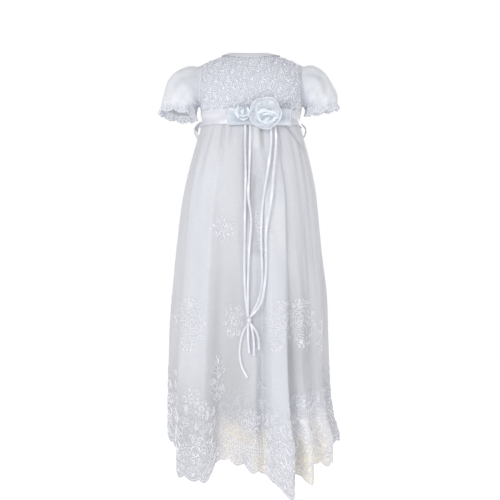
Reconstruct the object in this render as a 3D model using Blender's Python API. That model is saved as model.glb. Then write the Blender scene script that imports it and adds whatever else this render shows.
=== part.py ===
"""Long christening dress, worn shape with nobody in it: lace bodice, puff sleeves, satin sash with
a flower and hanging ribbons in front and a tied bow behind, gathered net skirt over a plain lining.

Metres, +Z up, the front faces -Y and +X is to the right of someone who looks at the front.
The origin is the middle of the neck opening at the height of the shoulders."""

import math

import bmesh
import bpy
import numpy as np
from mathutils import Matrix, Vector

# Cloth and clearances
WALL = 0.0010
SEAM = 0.0006
CLEAR = 0.0006

# Heights
SHOULDER_TIP_Z = -0.0257
UNDERARM_Z = -0.0944
SASH_TOP_Z = -0.1050
SASH_BOTTOM_Z = -0.1300
WAIST_SEAM_Z = -0.1175
LINING_HEM_Z = -0.6200

# Half sizes across and through the body, at the chest and the waist seam, and the section's power
CHEST_HALF = 0.0900
WAIST_HALF = 0.0825
WAIST_FRONT = 0.0615
WAIST_BACK = 0.0565
BODY_POWER = 3.4
HEM_POWER = 2.4
LINING_TUCK = 0.0060

# Bodice heights with half width, front depth and back depth
TORSO_Z = (-0.1175, -0.1050, -0.0900, -0.0600, -0.0200)
TORSO_HALF = (WAIST_HALF, 0.0850, 0.0885, CHEST_HALF, CHEST_HALF)
TORSO_FRONT = (WAIST_FRONT, 0.0640, 0.0670, 0.0690, 0.0690)
TORSO_BACK = (WAIST_BACK, 0.0580, 0.0595, 0.0610, 0.0610)

# Smooth skirt under the folds: heights, then left and right half width, front and back depth
SKIRT_Z = (-0.1175, -0.150, -0.200, -0.250, -0.340, -0.426, -0.490, -0.545, -0.614, -0.660, -0.720)
SKIRT_LEFT = (WAIST_HALF, 0.0905, 0.1040, 0.1145, 0.1225, 0.1275, 0.1300, 0.1310, 0.1320, 0.1325,
              0.1325)
SKIRT_RIGHT = (WAIST_HALF, 0.0905, 0.1030, 0.1110, 0.1145, 0.1190, 0.1175, 0.1165, 0.1225, 0.1345,
               0.1360)
SKIRT_FRONT = (WAIST_FRONT, 0.0650, 0.0690, 0.0720, 0.0760, 0.0790, 0.0810, 0.0825, 0.0840, 0.0850,
               0.0855)
SKIRT_BACK = (WAIST_BACK, 0.0600, 0.0640, 0.0670, 0.0710, 0.0740, 0.0760, 0.0775, 0.0790, 0.0800,
              0.0805)

# Shoulder slope and how the chest closes towards it
SHOULDER_SLOPE = 0.45
SHOULDER_ROUND = 0.0300
CLOSING_START_Z = -0.0750
CLOSING_POWER = 2.2

# Neck and armhole
NECK_HALF = 0.0420
NECK_FRONT = 0.0420
NECK_BACK = 0.0330
BINDING_WIDTH = 0.0080
BINDING_LIP = 0.0010
ARMHOLE_FRONT = 0.0260
ARMHOLE_BACK = 0.0250

# Skirt folds, from the left side seam through the front and round the back to it again.
# share is the place round the skirt, out how far the fold stands off at the hem, slide how far it
# leans sideways, hem the height of the edge there, start the share of the length where it begins.
FOLD_COLUMNS = ("share", "out", "slide", "hem", "start")
FOLDS = (
    (0.000, 0.011, 0.000, -0.656, 0.05),
    (0.058, 0.003, 0.000, -0.672, 0.10),
    (0.118, 0.025, 0.000, -0.714, 0.12),
    (0.160, 0.026, 0.003, -0.719, 0.12),
    (0.193, 0.002, -0.002, -0.684, 0.15),
    (0.230, 0.011, 0.000, -0.692, 0.10),
    (0.258, 0.009, 0.000, -0.706, 0.10),
    (0.276, 0.003, 0.000, -0.706, 0.20),
    (0.295, 0.036, 0.000, -0.722, 0.22),
    (0.315, 0.044, 0.003, -0.742, 0.22),
    (0.336, 0.010, -0.006, -0.705, 0.20),
    (0.358, 0.026, 0.000, -0.723, 0.18),
    (0.385, 0.003, 0.000, -0.694, 0.15),
    (0.425, 0.013, 0.000, -0.701, 0.12),
    (0.470, 0.002, 0.000, -0.674, 0.10),
    (0.500, 0.018, 0.000, -0.666, 0.10),
    (0.540, 0.004, 0.000, -0.680, 0.12),
    (0.582, 0.022, 0.000, -0.699, 0.12),
    (0.622, 0.003, 0.000, -0.692, 0.15),
    (0.664, 0.027, 0.000, -0.706, 0.18),
    (0.704, 0.004, 0.000, -0.698, 0.15),
    (0.742, 0.020, 0.000, -0.704, 0.12),
    (0.780, 0.003, 0.000, -0.697, 0.15),
    (0.824, 0.028, 0.000, -0.707, 0.15),
    (0.866, 0.004, 0.000, -0.694, 0.12),
    (0.908, 0.021, 0.000, -0.696, 0.12),
    (0.950, 0.003, 0.000, -0.680, 0.10),
)
GATHERS = 22
GATHER_DEPTH = 0.0036
SCALLOPS = 36
SCALLOP_DEPTH = 0.0060

# Puff sleeves: the outer line from shoulder tip to cuff, the inner line at the armhole and at the
# cuff, and half the depth of each ring. The left sleeve shows more of its opening.
SLEEVE_OUTER = {
    "left": ((0.0901, -0.0257), (0.1010, -0.0258), (0.1150, -0.0296), (0.1310, -0.0370),
             (0.1425, -0.0505), (0.1490, -0.0669), (0.1518, -0.0800), (0.1530, -0.0892)),
    "right": ((0.0901, -0.0257), (0.1004, -0.0237), (0.1141, -0.0283), (0.1278, -0.0395),
              (0.1381, -0.0532), (0.1452, -0.0686), (0.1476, -0.0800), (0.1462, -0.0885)),
}
SLEEVE_INNER_START = (0.0885, -0.0944)
SLEEVE_INNER_END = (0.0940, -0.0985)
SLEEVE_DEPTH = (0.0260, 0.0310, 0.0365, 0.0400, 0.0405, 0.0385, 0.0345, 0.0300)
SLEEVE_WAVES = 9
SLEEVE_WAVE = 0.0015
CUFF_BACK_DROP = {"left": 0.0110, "right": -0.0020}
EDGING_DROP = 0.0125
EDGING_FLARE = 0.0030
EDGING_POINT = 0.0040

# Front ribbon band and flowers, on the sash
BAND_LEFT_X = -0.0370
BAND_RIGHT_X = 0.0650
BAND_TOP_Z = -0.1024
BAND_BOTTOM_Z = -0.1329
BAND_FULLNESS = 0.0048
FLOWER_X = 0.0230
FLOWER_Z = -0.1165
SMALL_FLOWER_X = -0.0150
SMALL_FLOWER_Z = -0.1180

# Narrow ribbons: across and down, from the flower to the knot, then the four loose ends
RIBBON_WIDTH = 0.0035
RIBBON_WALL = 0.0008
RIBBON_STANDOFF = 0.0022
KNOT_X = -0.0032
KNOT_Z = -0.4540
KNOT_HALF = 0.0045
KNOT_STANDOFF = 0.0046
RIBBONS = {
    "ribbon_1": ((-0.0095, -0.1333), (-0.0100, -0.170), (-0.0090, -0.212), (-0.0100, -0.262),
                 (-0.0105, -0.316), (-0.0110, -0.370), (-0.0095, -0.415), (-0.0051, -0.4491)),
    "ribbon_2": ((-0.0015, -0.1333), (-0.0020, -0.170), (-0.0030, -0.212), (-0.0045, -0.252),
                 (0.0000, -0.290), (-0.0035, -0.345), (-0.0055, -0.405), (-0.0049, -0.4491)),
    "ribbon_3": ((0.0330, -0.1333), (0.0330, -0.165), (0.0270, -0.210), (0.0185, -0.268),
                 (0.0165, -0.320), (0.0180, -0.385), (0.0125, -0.420), (-0.0013, -0.4491)),
    "ribbon_4": ((0.0405, -0.1333), (0.0410, -0.165), (0.0370, -0.210), (0.0330, -0.258),
                 (0.0245, -0.310), (0.0240, -0.375), (0.0165, -0.425), (-0.0015, -0.4491)),
}
RIBBON_ENDS = {
    "ribbon_end_1": ((-0.0051, -0.4589), (-0.0145, -0.478), (-0.0190, -0.505), (-0.0150, -0.530),
                     (-0.0060, -0.548)),
    "ribbon_end_2": ((-0.0049, -0.4589), (-0.0052, -0.480), (-0.0030, -0.508)),
    "ribbon_end_3": ((-0.0013, -0.4589), (0.0038, -0.482), (0.0050, -0.512)),
    "ribbon_end_4": ((-0.0015, -0.4589), (0.0105, -0.478), (0.0130, -0.502)),
}

# Tied bow behind
BOW_RIBBON = 0.0250
BOW_REACH = 0.0970
BOW_TAIL_BOTTOM_Z = -0.3600

# Back buttons
BUTTON_RADIUS = 0.0045
BUTTON_HEIGHTS = (-0.024, -0.046, -0.068, -0.090)
BUTTON_X = 0.0065


def through(stations, values, at):
    """A smooth curve through a short table that never swings past its values."""
    stations, values = np.asarray(stations, float), np.asarray(values, float)
    if stations[0] > stations[-1]:
        stations, values = stations[::-1], values[::-1]
    step = np.diff(stations)
    slope = np.diff(values) / step
    tangent = np.zeros(len(values))
    same_way = slope[:-1] * slope[1:] > 0
    tangent[1:-1][same_way] = 2 * slope[:-1][same_way] * slope[1:][same_way] / (
        slope[:-1][same_way] + slope[1:][same_way]
    )
    tangent[0], tangent[-1] = slope[0], slope[-1]
    at = np.clip(np.asarray(at, float), stations[0], stations[-1])
    k = np.clip(np.searchsorted(stations, at, side="right") - 1, 0, len(step) - 1)
    t = (at - stations[k]) / step[k]
    return (
        values[k] * (1 + 2 * t) * (1 - t) ** 2
        + tangent[k] * step[k] * t * (1 - t) ** 2
        + values[k + 1] * t**2 * (3 - 2 * t)
        - tangent[k + 1] * step[k] * t**2 * (1 - t)
    )


def ease(low, high, at):
    """0 below low, 1 above high, and smooth between them."""
    t = np.clip((np.asarray(at, float) - low) / (high - low), 0, 1)
    return t * t * (3 - 2 * t)


def fold_value(column, share):
    """One column of the fold table at a place round the skirt, eased from each fold to the next."""
    index = FOLD_COLUMNS.index(column)
    places = np.array([row[0] for row in FOLDS])
    values = np.array([row[index] for row in FOLDS])
    places = np.concatenate([places[-1:] - 1, places, places[:1] + 1])
    values = np.concatenate([values[-1:], values, values[:1]])
    k = np.searchsorted(places, share, side="right") - 1
    t = (share - places[k]) / (places[k + 1] - places[k])
    return values[k] + (values[k + 1] - values[k]) * 0.5 * (1 - np.cos(np.pi * t))


def oval(left, right, front, back, power, share):
    """A body section: share 0 is the left side, 0.25 the front, 0.5 the right side, 0.75 the back."""
    share = np.asarray(share, float) % 1.0
    across = np.sin(2 * np.pi * share - np.pi / 2)
    depth = np.sqrt(np.clip(1 - np.abs(across) ** power, 0, 1))
    return (np.where(across < 0, left, right) * across,
            np.where(share < 0.5, -front * depth, back * depth))


def oval_with_normal(section, share):
    """The same section with its direction onwards and its outward direction in the level plane."""
    share = np.asarray(share, float)
    near = 0.004
    x, y = oval(*section, share)
    x0, y0 = oval(*section, share - near)
    x1, y1 = oval(*section, share + near)
    along = np.stack([x1 - x0, y1 - y0], axis=-1)
    along /= np.linalg.norm(along, axis=-1, keepdims=True)
    out = np.stack([along[..., 1], -along[..., 0]], axis=-1)
    return x, y, along, out


def skirt_section(z, inside=0.0):
    """Left and right half width, front and back depth and power of the smooth skirt at a height."""
    sizes = [through(SKIRT_Z, sizes, z) - inside
             for sizes in (SKIRT_LEFT, SKIRT_RIGHT, SKIRT_FRONT, SKIRT_BACK)]
    return (*sizes, BODY_POWER + (HEM_POWER - BODY_POWER) * ease(-SKIRT_Z[0], -SKIRT_Z[5], -z))


def skirt_point(share, down):
    """The net skirt's outer face: share round the body, down from 0 at the waist to 1 at the hem."""
    share, down = np.broadcast_arrays(np.asarray(share, float), np.asarray(down, float))
    hem = fold_value("hem", share)
    notch = 1 - np.abs(np.cos(np.pi * SCALLOPS * share)) ** 0.7
    z = WAIST_SEAM_Z - SEAM + (hem - WAIST_SEAM_Z) * down
    z = z + SCALLOP_DEPTH * notch * ease(0.93, 1.0, down)
    x, y, along, out = oval_with_normal(skirt_section(z), share)
    grown = ease(0, 1, (down - fold_value("start", share)) / 0.75)
    wander = 0.35 * np.sin(2 * np.pi * 3 * share) + 0.25 * np.sin(2 * np.pi * 7 * share + 1.0)
    gather = 0.5 + 0.5 * np.cos(2 * np.pi * (GATHERS * share + wander))
    gathered = ease(0.024, 0.075, down) * (1 - ease(0.10, 0.42, down))
    gathered = gathered * ease(0, 0.03, np.abs((share + 0.25) % 0.5 - 0.25))
    away = fold_value("out", share) * grown + GATHER_DEPTH * gather * gathered
    lean = fold_value("slide", share) * grown
    return np.stack(
        [x + out[..., 0] * away + along[..., 0] * lean,
         y + out[..., 1] * away + along[..., 1] * lean, z], axis=-1,
    )


def lining_point(share, down):
    """The plain lining's outer face."""
    share, down = np.broadcast_arrays(np.asarray(share, float), np.asarray(down, float))
    z = WAIST_SEAM_Z - SEAM + (LINING_HEM_Z - WAIST_SEAM_Z) * down
    section = skirt_section(z, inside=WALL + CLEAR + LINING_TUCK * ease(0, 0.5, down))
    x, y, _, out = oval_with_normal(section, share)
    ripple = -0.0022 * (0.5 + 0.5 * np.cos(2 * np.pi * 11 * share + 0.8)) * ease(0.1, 0.9, down)
    return np.stack([x + out[..., 0] * ripple, y + out[..., 1] * ripple, z], axis=-1)


def ridge_height(x):
    """The height of the shoulder line, where front and back meet."""
    reach = math.hypot(CHEST_HALF, SHOULDER_ROUND)
    return SHOULDER_TIP_Z + SHOULDER_SLOPE * (reach - np.hypot(x, SHOULDER_ROUND))


def torso_half(z):
    return through(TORSO_Z, TORSO_HALF, z)


def torso_depth(z, side):
    return through(TORSO_Z, TORSO_FRONT if side < 0 else TORSO_BACK, z)


def closing(x, z):
    """How much of the chest's depth is left on the way up to the shoulder."""
    rise = (z - CLOSING_START_Z) / (ridge_height(x) - CLOSING_START_Z)
    return np.sqrt(np.clip(1 - np.clip(rise, 0, 1) ** CLOSING_POWER, 0, 1))


def across_left(x, z):
    share = np.clip(np.abs(x) / torso_half(z), 0, 1)
    return np.sqrt(np.clip(1 - share**BODY_POWER, 0, 1))


def top_height(x, y):
    """The height of the shoulder and neck area over a point of the plan."""
    side = -1 if y < 0 else 1
    full = torso_depth(-0.02, side) * across_left(x, -0.02)
    left = min(1.0, abs(y) / full)
    rise = (1 - left**2) ** (1 / CLOSING_POWER)
    return CLOSING_START_Z + rise * (float(ridge_height(x)) - CLOSING_START_Z)


def neck_line(x, side):
    """The height of the neck edge over a place across, on the front or the back."""
    deep = NECK_FRONT if side < 0 else NECK_BACK
    y = side * deep * math.sqrt(max(0.0, 1 - (x / NECK_HALF) ** 2))
    return top_height(x, y if y else side * 1e-6)


def armhole_depth(z, side):
    """How far forward or back the armhole edge is at a height."""
    middle, half = (SHOULDER_TIP_Z + UNDERARM_Z) / 2, (SHOULDER_TIP_Z - UNDERARM_Z) / 2
    deep = ARMHOLE_FRONT if side < 0 else ARMHOLE_BACK
    return deep * math.sqrt(max(0.0, 1 - ((z - middle) / half) ** 2))


def side_x(z, depth, side):
    """How far across the body's surface lies at a height and a depth."""
    half = float(torso_half(z))
    x = 0.95 * half
    for _ in range(6):
        room = float(torso_depth(z, side)) * float(closing(x, z))
        left = min(1.0, depth / max(room, 1e-6))
        x = half * (1 - left**2) ** (1 / BODY_POWER)
    return x


def bodice_height(side, top_x, level):
    """The height of a row: levels 0 to 1 climb the straight part, 1 to 2 go over the shoulder."""
    bottom = WAIST_SEAM_Z + SEAM
    if level <= 1:
        return bottom + (CLOSING_START_Z - bottom) * level
    room = float(ridge_height(top_x)) - CLOSING_START_Z
    last = math.pi / 2
    if abs(top_x) < NECK_HALF:
        rise = (neck_line(top_x, side) - CLOSING_START_Z) / room
        last = math.asin(min(1.0, rise ** (CLOSING_POWER / 2)))
    return CLOSING_START_Z + room * math.sin(last * (level - 1)) ** (2 / CLOSING_POWER)


def bodice_point(side, across, level):
    """The bodice's outer face: across from -1 to 1 and a level from 0 at the waist to 2 on top."""
    z = bodice_height(side, CHEST_HALF * math.sin(across * math.pi / 2), level)
    reach = math.pi / 2
    if UNDERARM_Z < z < SHOULDER_TIP_Z:
        edge = side_x(z, armhole_depth(z, side), side)
        reach = math.asin(min(1.0, edge / float(torso_half(z))))
    x = float(torso_half(z)) * math.sin(across * reach)
    y = side * float(torso_depth(z, side)) * float(across_left(x, z)) * float(closing(x, z))
    return Vector((x, y + side * SEAM / 2, z))


def material(name, colour, roughness, sheen=0.0):
    made = bpy.data.materials.new(name)
    made.use_nodes = True
    shader = made.node_tree.nodes["Principled BSDF"]
    shader.inputs["Base Color"].default_value = (*colour, 1.0)
    shader.inputs["Roughness"].default_value = roughness
    shader.inputs["Metallic"].default_value = 0.0
    shader.inputs["Sheen Weight"].default_value = sheen
    return made


def add_object(name, mesh, finish, parent):
    mesh.materials.append(finish)
    mesh.shade_smooth()
    made = bpy.data.objects.new(name, mesh)
    bpy.context.scene.collection.objects.link(made)
    made.parent = parent
    return made


def sheet(name, grid, finish, parent, outward, closed=False, wall=WALL, offset=-1.0):
    """A cloth wall from rows of points on its outer face. outward gives a direction that leaves it."""
    bm = bmesh.new()
    rows = [[bm.verts.new(Vector(point)) for point in row] for row in grid]
    count = len(rows[0])
    for low, high in zip(rows, rows[1:]):
        for k in range(count if closed else count - 1):
            after = (k + 1) % count
            bm.faces.new((low[k], low[after], high[after], high[k]))
    bm.normal_update()
    facing = sum(face.normal.dot(outward(face.calc_center_median())) * face.calc_area()
                 for face in bm.faces)
    if facing < 0:
        bmesh.ops.reverse_faces(bm, faces=bm.faces)
    mesh = bpy.data.meshes.new(name)
    bm.to_mesh(mesh)
    bm.free()
    made = add_object(name, mesh, finish, parent)
    solid = made.modifiers.new("wall", "SOLIDIFY")
    solid.thickness = wall
    solid.offset = offset
    return made


def from_axis(point):
    """Away from the body's upright middle line."""
    return Vector((point.x, point.y, 0))


def turned(name, profile, place, facing, finish, parent, steps=20, wide=1.0):
    """A closed shape turned from a profile of (radius, height), standing along facing."""
    bm = bmesh.new()
    line = [bm.verts.new((radius, 0, height)) for radius, height in profile]
    edges = [bm.edges.new(pair) for pair in zip(line, line[1:])]
    bmesh.ops.spin(
        bm, geom=line + edges, cent=(0, 0, 0), axis=(0, 0, 1),
        angle=2 * math.pi, steps=steps, use_merge=True,
    )
    bmesh.ops.remove_doubles(bm, verts=bm.verts, dist=1e-6)
    bmesh.ops.recalc_face_normals(bm, faces=bm.faces)
    turn = Vector(facing).to_track_quat("Z", "Y").to_matrix().to_4x4()
    spread = Matrix.Diagonal((wide, 1, 1, 1))
    bmesh.ops.transform(bm, matrix=Matrix.Translation(place) @ turn @ spread, verts=bm.verts)
    mesh = bpy.data.meshes.new(name)
    bm.to_mesh(mesh)
    bm.free()
    return add_object(name, mesh, finish, parent)


def make_bodice(parent, lace):
    rows = (0, 0.28, 0.545, 0.75, 1.0, 1.15, 1.3, 1.45, 1.6, 1.74, 1.87, 2.0)
    front = [[bodice_point(-1, k / 11 - 1, level) for k in range(23)] for level in rows]
    sheet("bodice_front", front, lace, parent, from_axis)
    edge = SEAM / CHEST_HALF
    for name, first, last in (("bodice_back_left", -1, -edge), ("bodice_back_right", edge, 1)):
        panel = [
            [bodice_point(1, first + (last - first) * k / 10, level) for k in range(11)]
            for level in rows
        ]
        sheet(name, panel, lace, parent, from_axis)


def neck_ring(outwards, lift, count):
    """A ring of points round the neck, some way out from its edge and some way off the cloth."""
    ring = []
    for k in range(count):
        turn = 2 * math.pi * k / count
        deep = NECK_FRONT if math.sin(turn) < 0 else NECK_BACK
        x = (NECK_HALF + outwards) * math.cos(turn)
        y = (deep + outwards) * math.sin(turn)
        step = 0.001
        slope_x = (top_height(x + step, y) - top_height(x - step, y)) / (2 * step)
        slope_y = (top_height(x, y + step) - top_height(x, y - step)) / (2 * step)
        normal = Vector((-slope_x, -slope_y, 1)).normalized()
        ring.append(Vector((x, y, top_height(x, y))) + normal * lift)
    return ring


def make_neck(parent, satin):
    lift = CLEAR + WALL
    grid = [neck_ring(reach, lift, 44) for reach in (-BINDING_LIP, BINDING_WIDTH / 2, BINDING_WIDTH)]
    sheet("neck_binding", grid, satin, parent, lambda point: Vector((0, 0, 1)), closed=True)


def armhole_ring(hand, count):
    """The armhole edge, from the shoulder tip forward and down, under the arm and up the back."""
    middle, half = (SHOULDER_TIP_Z + UNDERARM_Z) / 2, (SHOULDER_TIP_Z - UNDERARM_Z) / 2
    ring = []
    for k in range(count):
        turn = 2 * math.pi * k / count
        side = -1 if math.sin(turn) >= 0 else 1
        z = middle + half * math.cos(turn)
        depth = armhole_depth(z, side)
        ring.append(Vector((hand * side_x(z, depth, side), side * depth, z)))
    return ring


def sleeve_ring(hand, along, count, grow=0.0):
    """One ring of a puff sleeve: along from 0 at the armhole to 1 at the cuff."""
    name = "left" if hand < 0 else "right"
    stations = np.linspace(0, 1, len(SLEEVE_DEPTH))
    outer = SLEEVE_OUTER[name]
    top = Vector((float(through(stations, [p[0] for p in outer], along)), 0,
                  float(through(stations, [p[1] for p in outer], along))))
    start, end = Vector((SLEEVE_INNER_START[0], 0, SLEEVE_INNER_START[1])), Vector(
        (SLEEVE_INNER_END[0], 0, SLEEVE_INNER_END[1]))
    low = start.lerp(end, along)
    depth = float(through(stations, SLEEVE_DEPTH, along)) + grow
    middle, half = (top + low) / 2, (top - low) / 2
    half = half * (1 + grow / half.length)
    hole = armhole_ring(1, count)
    opened = float(ease(0, 0.22, along))
    ring = []
    for k in range(count):
        turn = 2 * math.pi * k / count
        wave = math.cos(SLEEVE_WAVES * turn + 0.6)
        upper = 0.5 + 0.5 * math.cos(turn)
        crimp = SLEEVE_WAVE * wave * (
            upper * float(ease(0.03, 0.14, along) * (1 - ease(0.2, 0.5, along)))
            + float(ease(0.62, 0.95, along))
        )
        spread = 1 + crimp / half.length
        point = middle + half * math.cos(turn) * spread
        point.y = -depth * math.sin(turn) * spread
        point.z -= CUFF_BACK_DROP[name] * float(ease(0.45, 1, along)) * (
            0.5 - 0.5 * math.sin(turn))
        point = hole[k].lerp(point, opened)
        point.x += CLEAR
        ring.append(Vector((hand * point.x, point.y, point.z)))
    return ring


def make_sleeve(hand, parent, organza, edging):
    name = "left" if hand < 0 else "right"
    count = 4 * SLEEVE_WAVES
    rows = (0, 0.06, 0.14, 0.26, 0.40, 0.55, 0.70, 0.85, 1.0)
    grid = [sleeve_ring(hand, along, count) for along in rows]
    centre = Vector((hand * 0.119, 0, -0.070))
    sheet("sleeve_" + name, grid, organza, parent, lambda point: point - centre, closed=True)
    cuff = grid[-1]
    middle = sum(cuff, Vector()) / count
    down = Vector((hand * 0.10, 0, -1)).normalized()
    lace = []
    for level in (0.0, 0.5, 1.0):
        ring = []
        for k, point in enumerate(cuff):
            away = (point - middle).normalized()
            tooth = abs(math.sin(math.pi * SLEEVE_WAVES * k / count))
            drop = SEAM + EDGING_DROP * level + EDGING_POINT * (tooth - 1) * level**2
            ring.append(point + down * drop + away * EDGING_FLARE * level)
        lace.append(ring)
    sheet("sleeve_edging_" + name, lace, edging, parent,
          lambda point: point - middle, closed=True)


def panel_shares(first, last, count):
    """Places round the skirt for a panel, drawn in by half a seam, with a narrow strip there."""
    inset = SEAM / 2 / 0.7
    strip = 0.0010
    return np.concatenate([
        [first + inset], np.linspace(first + inset + strip, last - inset - strip, count - 2),
        [last - inset],
    ])


def make_skirt(parent, net, lining):
    rows = np.array([0, 0.026, 0.055, 0.10, 0.17, 0.27, 0.39, 0.52, 0.66, 0.80, 0.92, 0.965, 1.0])
    for name, first, last, count in (("skirt_front", 0.0, 0.5, 82), ("skirt_back", 0.5, 1.0, 46)):
        share = panel_shares(first, last, count)
        grid = [skirt_point(share, down) for down in rows]
        sheet(name, grid, net, parent, from_axis)
    rows = np.array([0, 0.07, 0.18, 0.34, 0.55, 0.78, 1.0])
    for name, first, last in (("lining_front", 0.0, 0.5), ("lining_back", 0.5, 1.0)):
        share = panel_shares(first, last, 21)
        grid = [lining_point(share, down) for down in rows]
        sheet(name, grid, lining, parent, from_axis)


def body_section(z):
    """The section of what the sash lies on at a height."""
    if z > WAIST_SEAM_Z:
        half = float(torso_half(z))
        return half, half, float(torso_depth(z, -1)), float(torso_depth(z, 1)), BODY_POWER
    return tuple(float(size) for size in skirt_section(z))


def on_sash(share, z, lift):
    """Points at a height, some way off the body under the sash."""
    x, y, _, out = oval_with_normal(body_section(z), share)
    return np.stack([x + out[..., 0] * lift, y + out[..., 1] * lift, np.full_like(x, z)], axis=-1)


def sash_front_y(x, z):
    """How far forward the sash's outer face is at a place across."""
    left, right, front, _, power = body_section(z)
    half = left if x < 0 else right
    return -front * math.sqrt(1 - (abs(x) / half) ** power) - CLEAR - WALL


def band_front_y(x):
    """How far forward the ribbon band that lies across the sash comes."""
    under = min(sash_front_y(x, z) for z in (SASH_BOTTOM_Z, WAIST_SEAM_Z, SASH_TOP_Z))
    return under - CLEAR - BAND_FULLNESS


def make_sash(parent, satin):
    share = np.arange(52) / 52
    lift = CLEAR + WALL
    heights = (SASH_BOTTOM_Z, WAIST_SEAM_Z, SASH_TOP_Z)
    grid = [on_sash(share, z, lift) for z in heights]
    sheet("sash", grid, satin, parent, from_axis, closed=True)


def make_front_band(parent, satin):
    """A flat loop of ribbon laid across the sash, with both ends turned back on themselves."""
    steps, turns = 12, 3
    grid = []
    for z in (BAND_BOTTOM_Z, (BAND_BOTTOM_Z + BAND_TOP_Z) / 2, BAND_TOP_Z):
        front, back = [], []
        for k in range(steps + 1):
            x = BAND_LEFT_X + (BAND_RIGHT_X - BAND_LEFT_X) * k / steps
            front.append(Vector((x, band_front_y(x), z)))
            back.append(Vector((x, band_front_y(x) + BAND_FULLNESS, z)))
        ring = list(front)
        for end_front, end_back, way in ((front[-1], back[-1], 1), (back[0], front[0], -1)):
            middle, half = (end_front + end_back) / 2, (end_front - end_back) / 2
            arc = []
            for k in range(1, turns + 1):
                turn = math.pi * k / (turns + 1)
                arc.append(middle + half * math.cos(turn)
                           + Vector((way * BAND_FULLNESS * 0.45 * math.sin(turn), 0, 0)))
            ring += arc
            if way > 0:
                ring += back[::-1]
        grid.append(ring)
    centre = Vector(((BAND_LEFT_X + BAND_RIGHT_X) / 2, grid[1][6].y + BAND_FULLNESS / 2, 0))
    sheet("front_band", grid, satin, parent,
          lambda point: Vector((0, point.y - centre.y, 0)), closed=True)


def petal_disc(name, place, radius, lobes, cup, finish, parent):
    """A lobed, cupped disc of cloth with a small hole under the middle of the flower."""
    grid = []
    for level in (0.2, 0.5, 0.8, 1.0):
        ring = []
        for k in range(8 * lobes // 2):
            turn = 2 * math.pi * k / (8 * lobes // 2)
            wave = math.cos(lobes * turn)
            reach = radius * level * (1 + 0.07 * wave * level)
            forward = cup * level**3 * (1 + 0.25 * wave)
            ring.append(place + Vector((reach * math.cos(turn), -forward, reach * math.sin(turn))))
        grid.append(ring)
    sheet(name, grid, finish, parent, lambda point: Vector((0, -1, 0)), closed=True)


def make_flowers(parent, satin, organza):
    seat = band_front_y(0.0) - CLEAR - WALL
    disc_place = Vector((FLOWER_X, seat, FLOWER_Z))
    petal_disc("flower_petals", disc_place, 0.0225, 6, 0.0034, organza, parent)
    bud = [(0, 0), (0.0055, 0), (0.0108, 0.0034), (0.0104, 0.0075), (0.0088, 0.0086),
           (0.0080, 0.0074), (0.0062, 0.0104), (0.0046, 0.0092), (0.0024, 0.0116), (0, 0.0116)]
    lower = Vector((0.0010, -0.0008, -0.0020))
    turned("flower_bud", bud, disc_place + lower, (0, -1, 0), satin, parent, steps=20, wide=1.55)
    small_seat = band_front_y(0.0) - CLEAR
    small = [(radius * 0.98, height * 0.80) for radius, height in bud]
    turned("small_flower", small, Vector((SMALL_FLOWER_X, small_seat, SMALL_FLOWER_Z)),
           (0, -1, 0), satin, parent, steps=16)


def front_of_skirt(x, z, width=0.006):
    """The most forward the skirt's front comes near a place, so that a ribbon can hang over it."""
    near = [point for point in FRONT_POINTS
            if abs(point[0] - x) < width and abs(point[2] - z) < 0.014]
    return min(point[1] for point in near)


def smooth_route(route, count):
    """Evenly spaced points on a smooth curve through a route chosen by hand."""
    knots = [Vector(point) for point in route]
    knots = [2 * knots[0] - knots[1], *knots, 2 * knots[-1] - knots[-2]]
    dense = []
    for a, b, c, d in zip(knots, knots[1:], knots[2:], knots[3:]):
        for k in range(12):
            t = k / 12
            dense.append(0.5 * (2 * b + (c - a) * t + (2 * a - 5 * b + 4 * c - d) * t**2
                                + (3 * b - a - 3 * c + d) * t**3))
    dense.append(knots[-2])
    lengths = np.concatenate([[0], np.cumsum([(q - p).length for p, q in zip(dense, dense[1:])])])
    wanted = np.linspace(0, lengths[-1], count)
    return [Vector([float(np.interp(at, lengths, [p[axis] for p in dense])) for axis in range(3)])
            for at in wanted]


def eased_out(depths, reach=2):
    """Levels a row of depths forwards, so that a ribbon bridges the folds it crosses."""
    held = [min(depths[max(0, k - reach): k + reach + 1]) for k in range(len(depths))]
    return [sum(held[max(0, k - reach): k + reach + 1])
            / len(held[max(0, k - reach): k + reach + 1]) for k in range(len(held))]


def knot_depth(order):
    """How far forward the knot holds a ribbon of a layer."""
    middle = front_of_skirt(KNOT_X, KNOT_Z) - KNOT_STANDOFF
    return middle + (0.5 - order) * (RIBBON_WALL + CLEAR)


def hanging_ribbon(name, route, order, finish, parent):
    """A narrow flat ribbon over the skirt; order keeps crossing ribbons in layers."""
    length = sum(math.dist(a, b) for a, b in zip(route, route[1:]))
    line = smooth_route([(x, 0, z) for x, z in route], max(6, round(length / 0.015)))
    standoff = RIBBON_STANDOFF + order * (RIBBON_WALL + CLEAR)
    if name in RIBBONS:
        depths = eased_out([front_of_skirt(point.x, point.z) for point in line])
        depths[0] = band_front_y(line[0].x) + WALL / 2 + standoff
        depths[-1] = knot_depth(order) + standoff
    else:
        depths = eased_out([front_of_skirt(KNOT_X, point.z, width=0.017) for point in line])
        depths[0] = knot_depth(order) + standoff
    grid = []
    for k, (point, depth) in enumerate(zip(line, depths)):
        point.y = depth - standoff
        before, after = line[max(0, k - 1)], line[min(len(line) - 1, k + 1)]
        way = Vector((after.x - before.x, 0, after.z - before.z)).normalized()
        if k == 0 or (name in RIBBONS and k == len(line) - 1):
            way = Vector((0, 0, -1))
        across = Vector((-way.z, 0, way.x)) * (RIBBON_WIDTH / 2)
        grid.append([point - across, point + across])
    sheet(name, grid, finish, parent, lambda point: Vector((0, -1, 0)), wall=RIBBON_WALL, offset=0)


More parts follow.
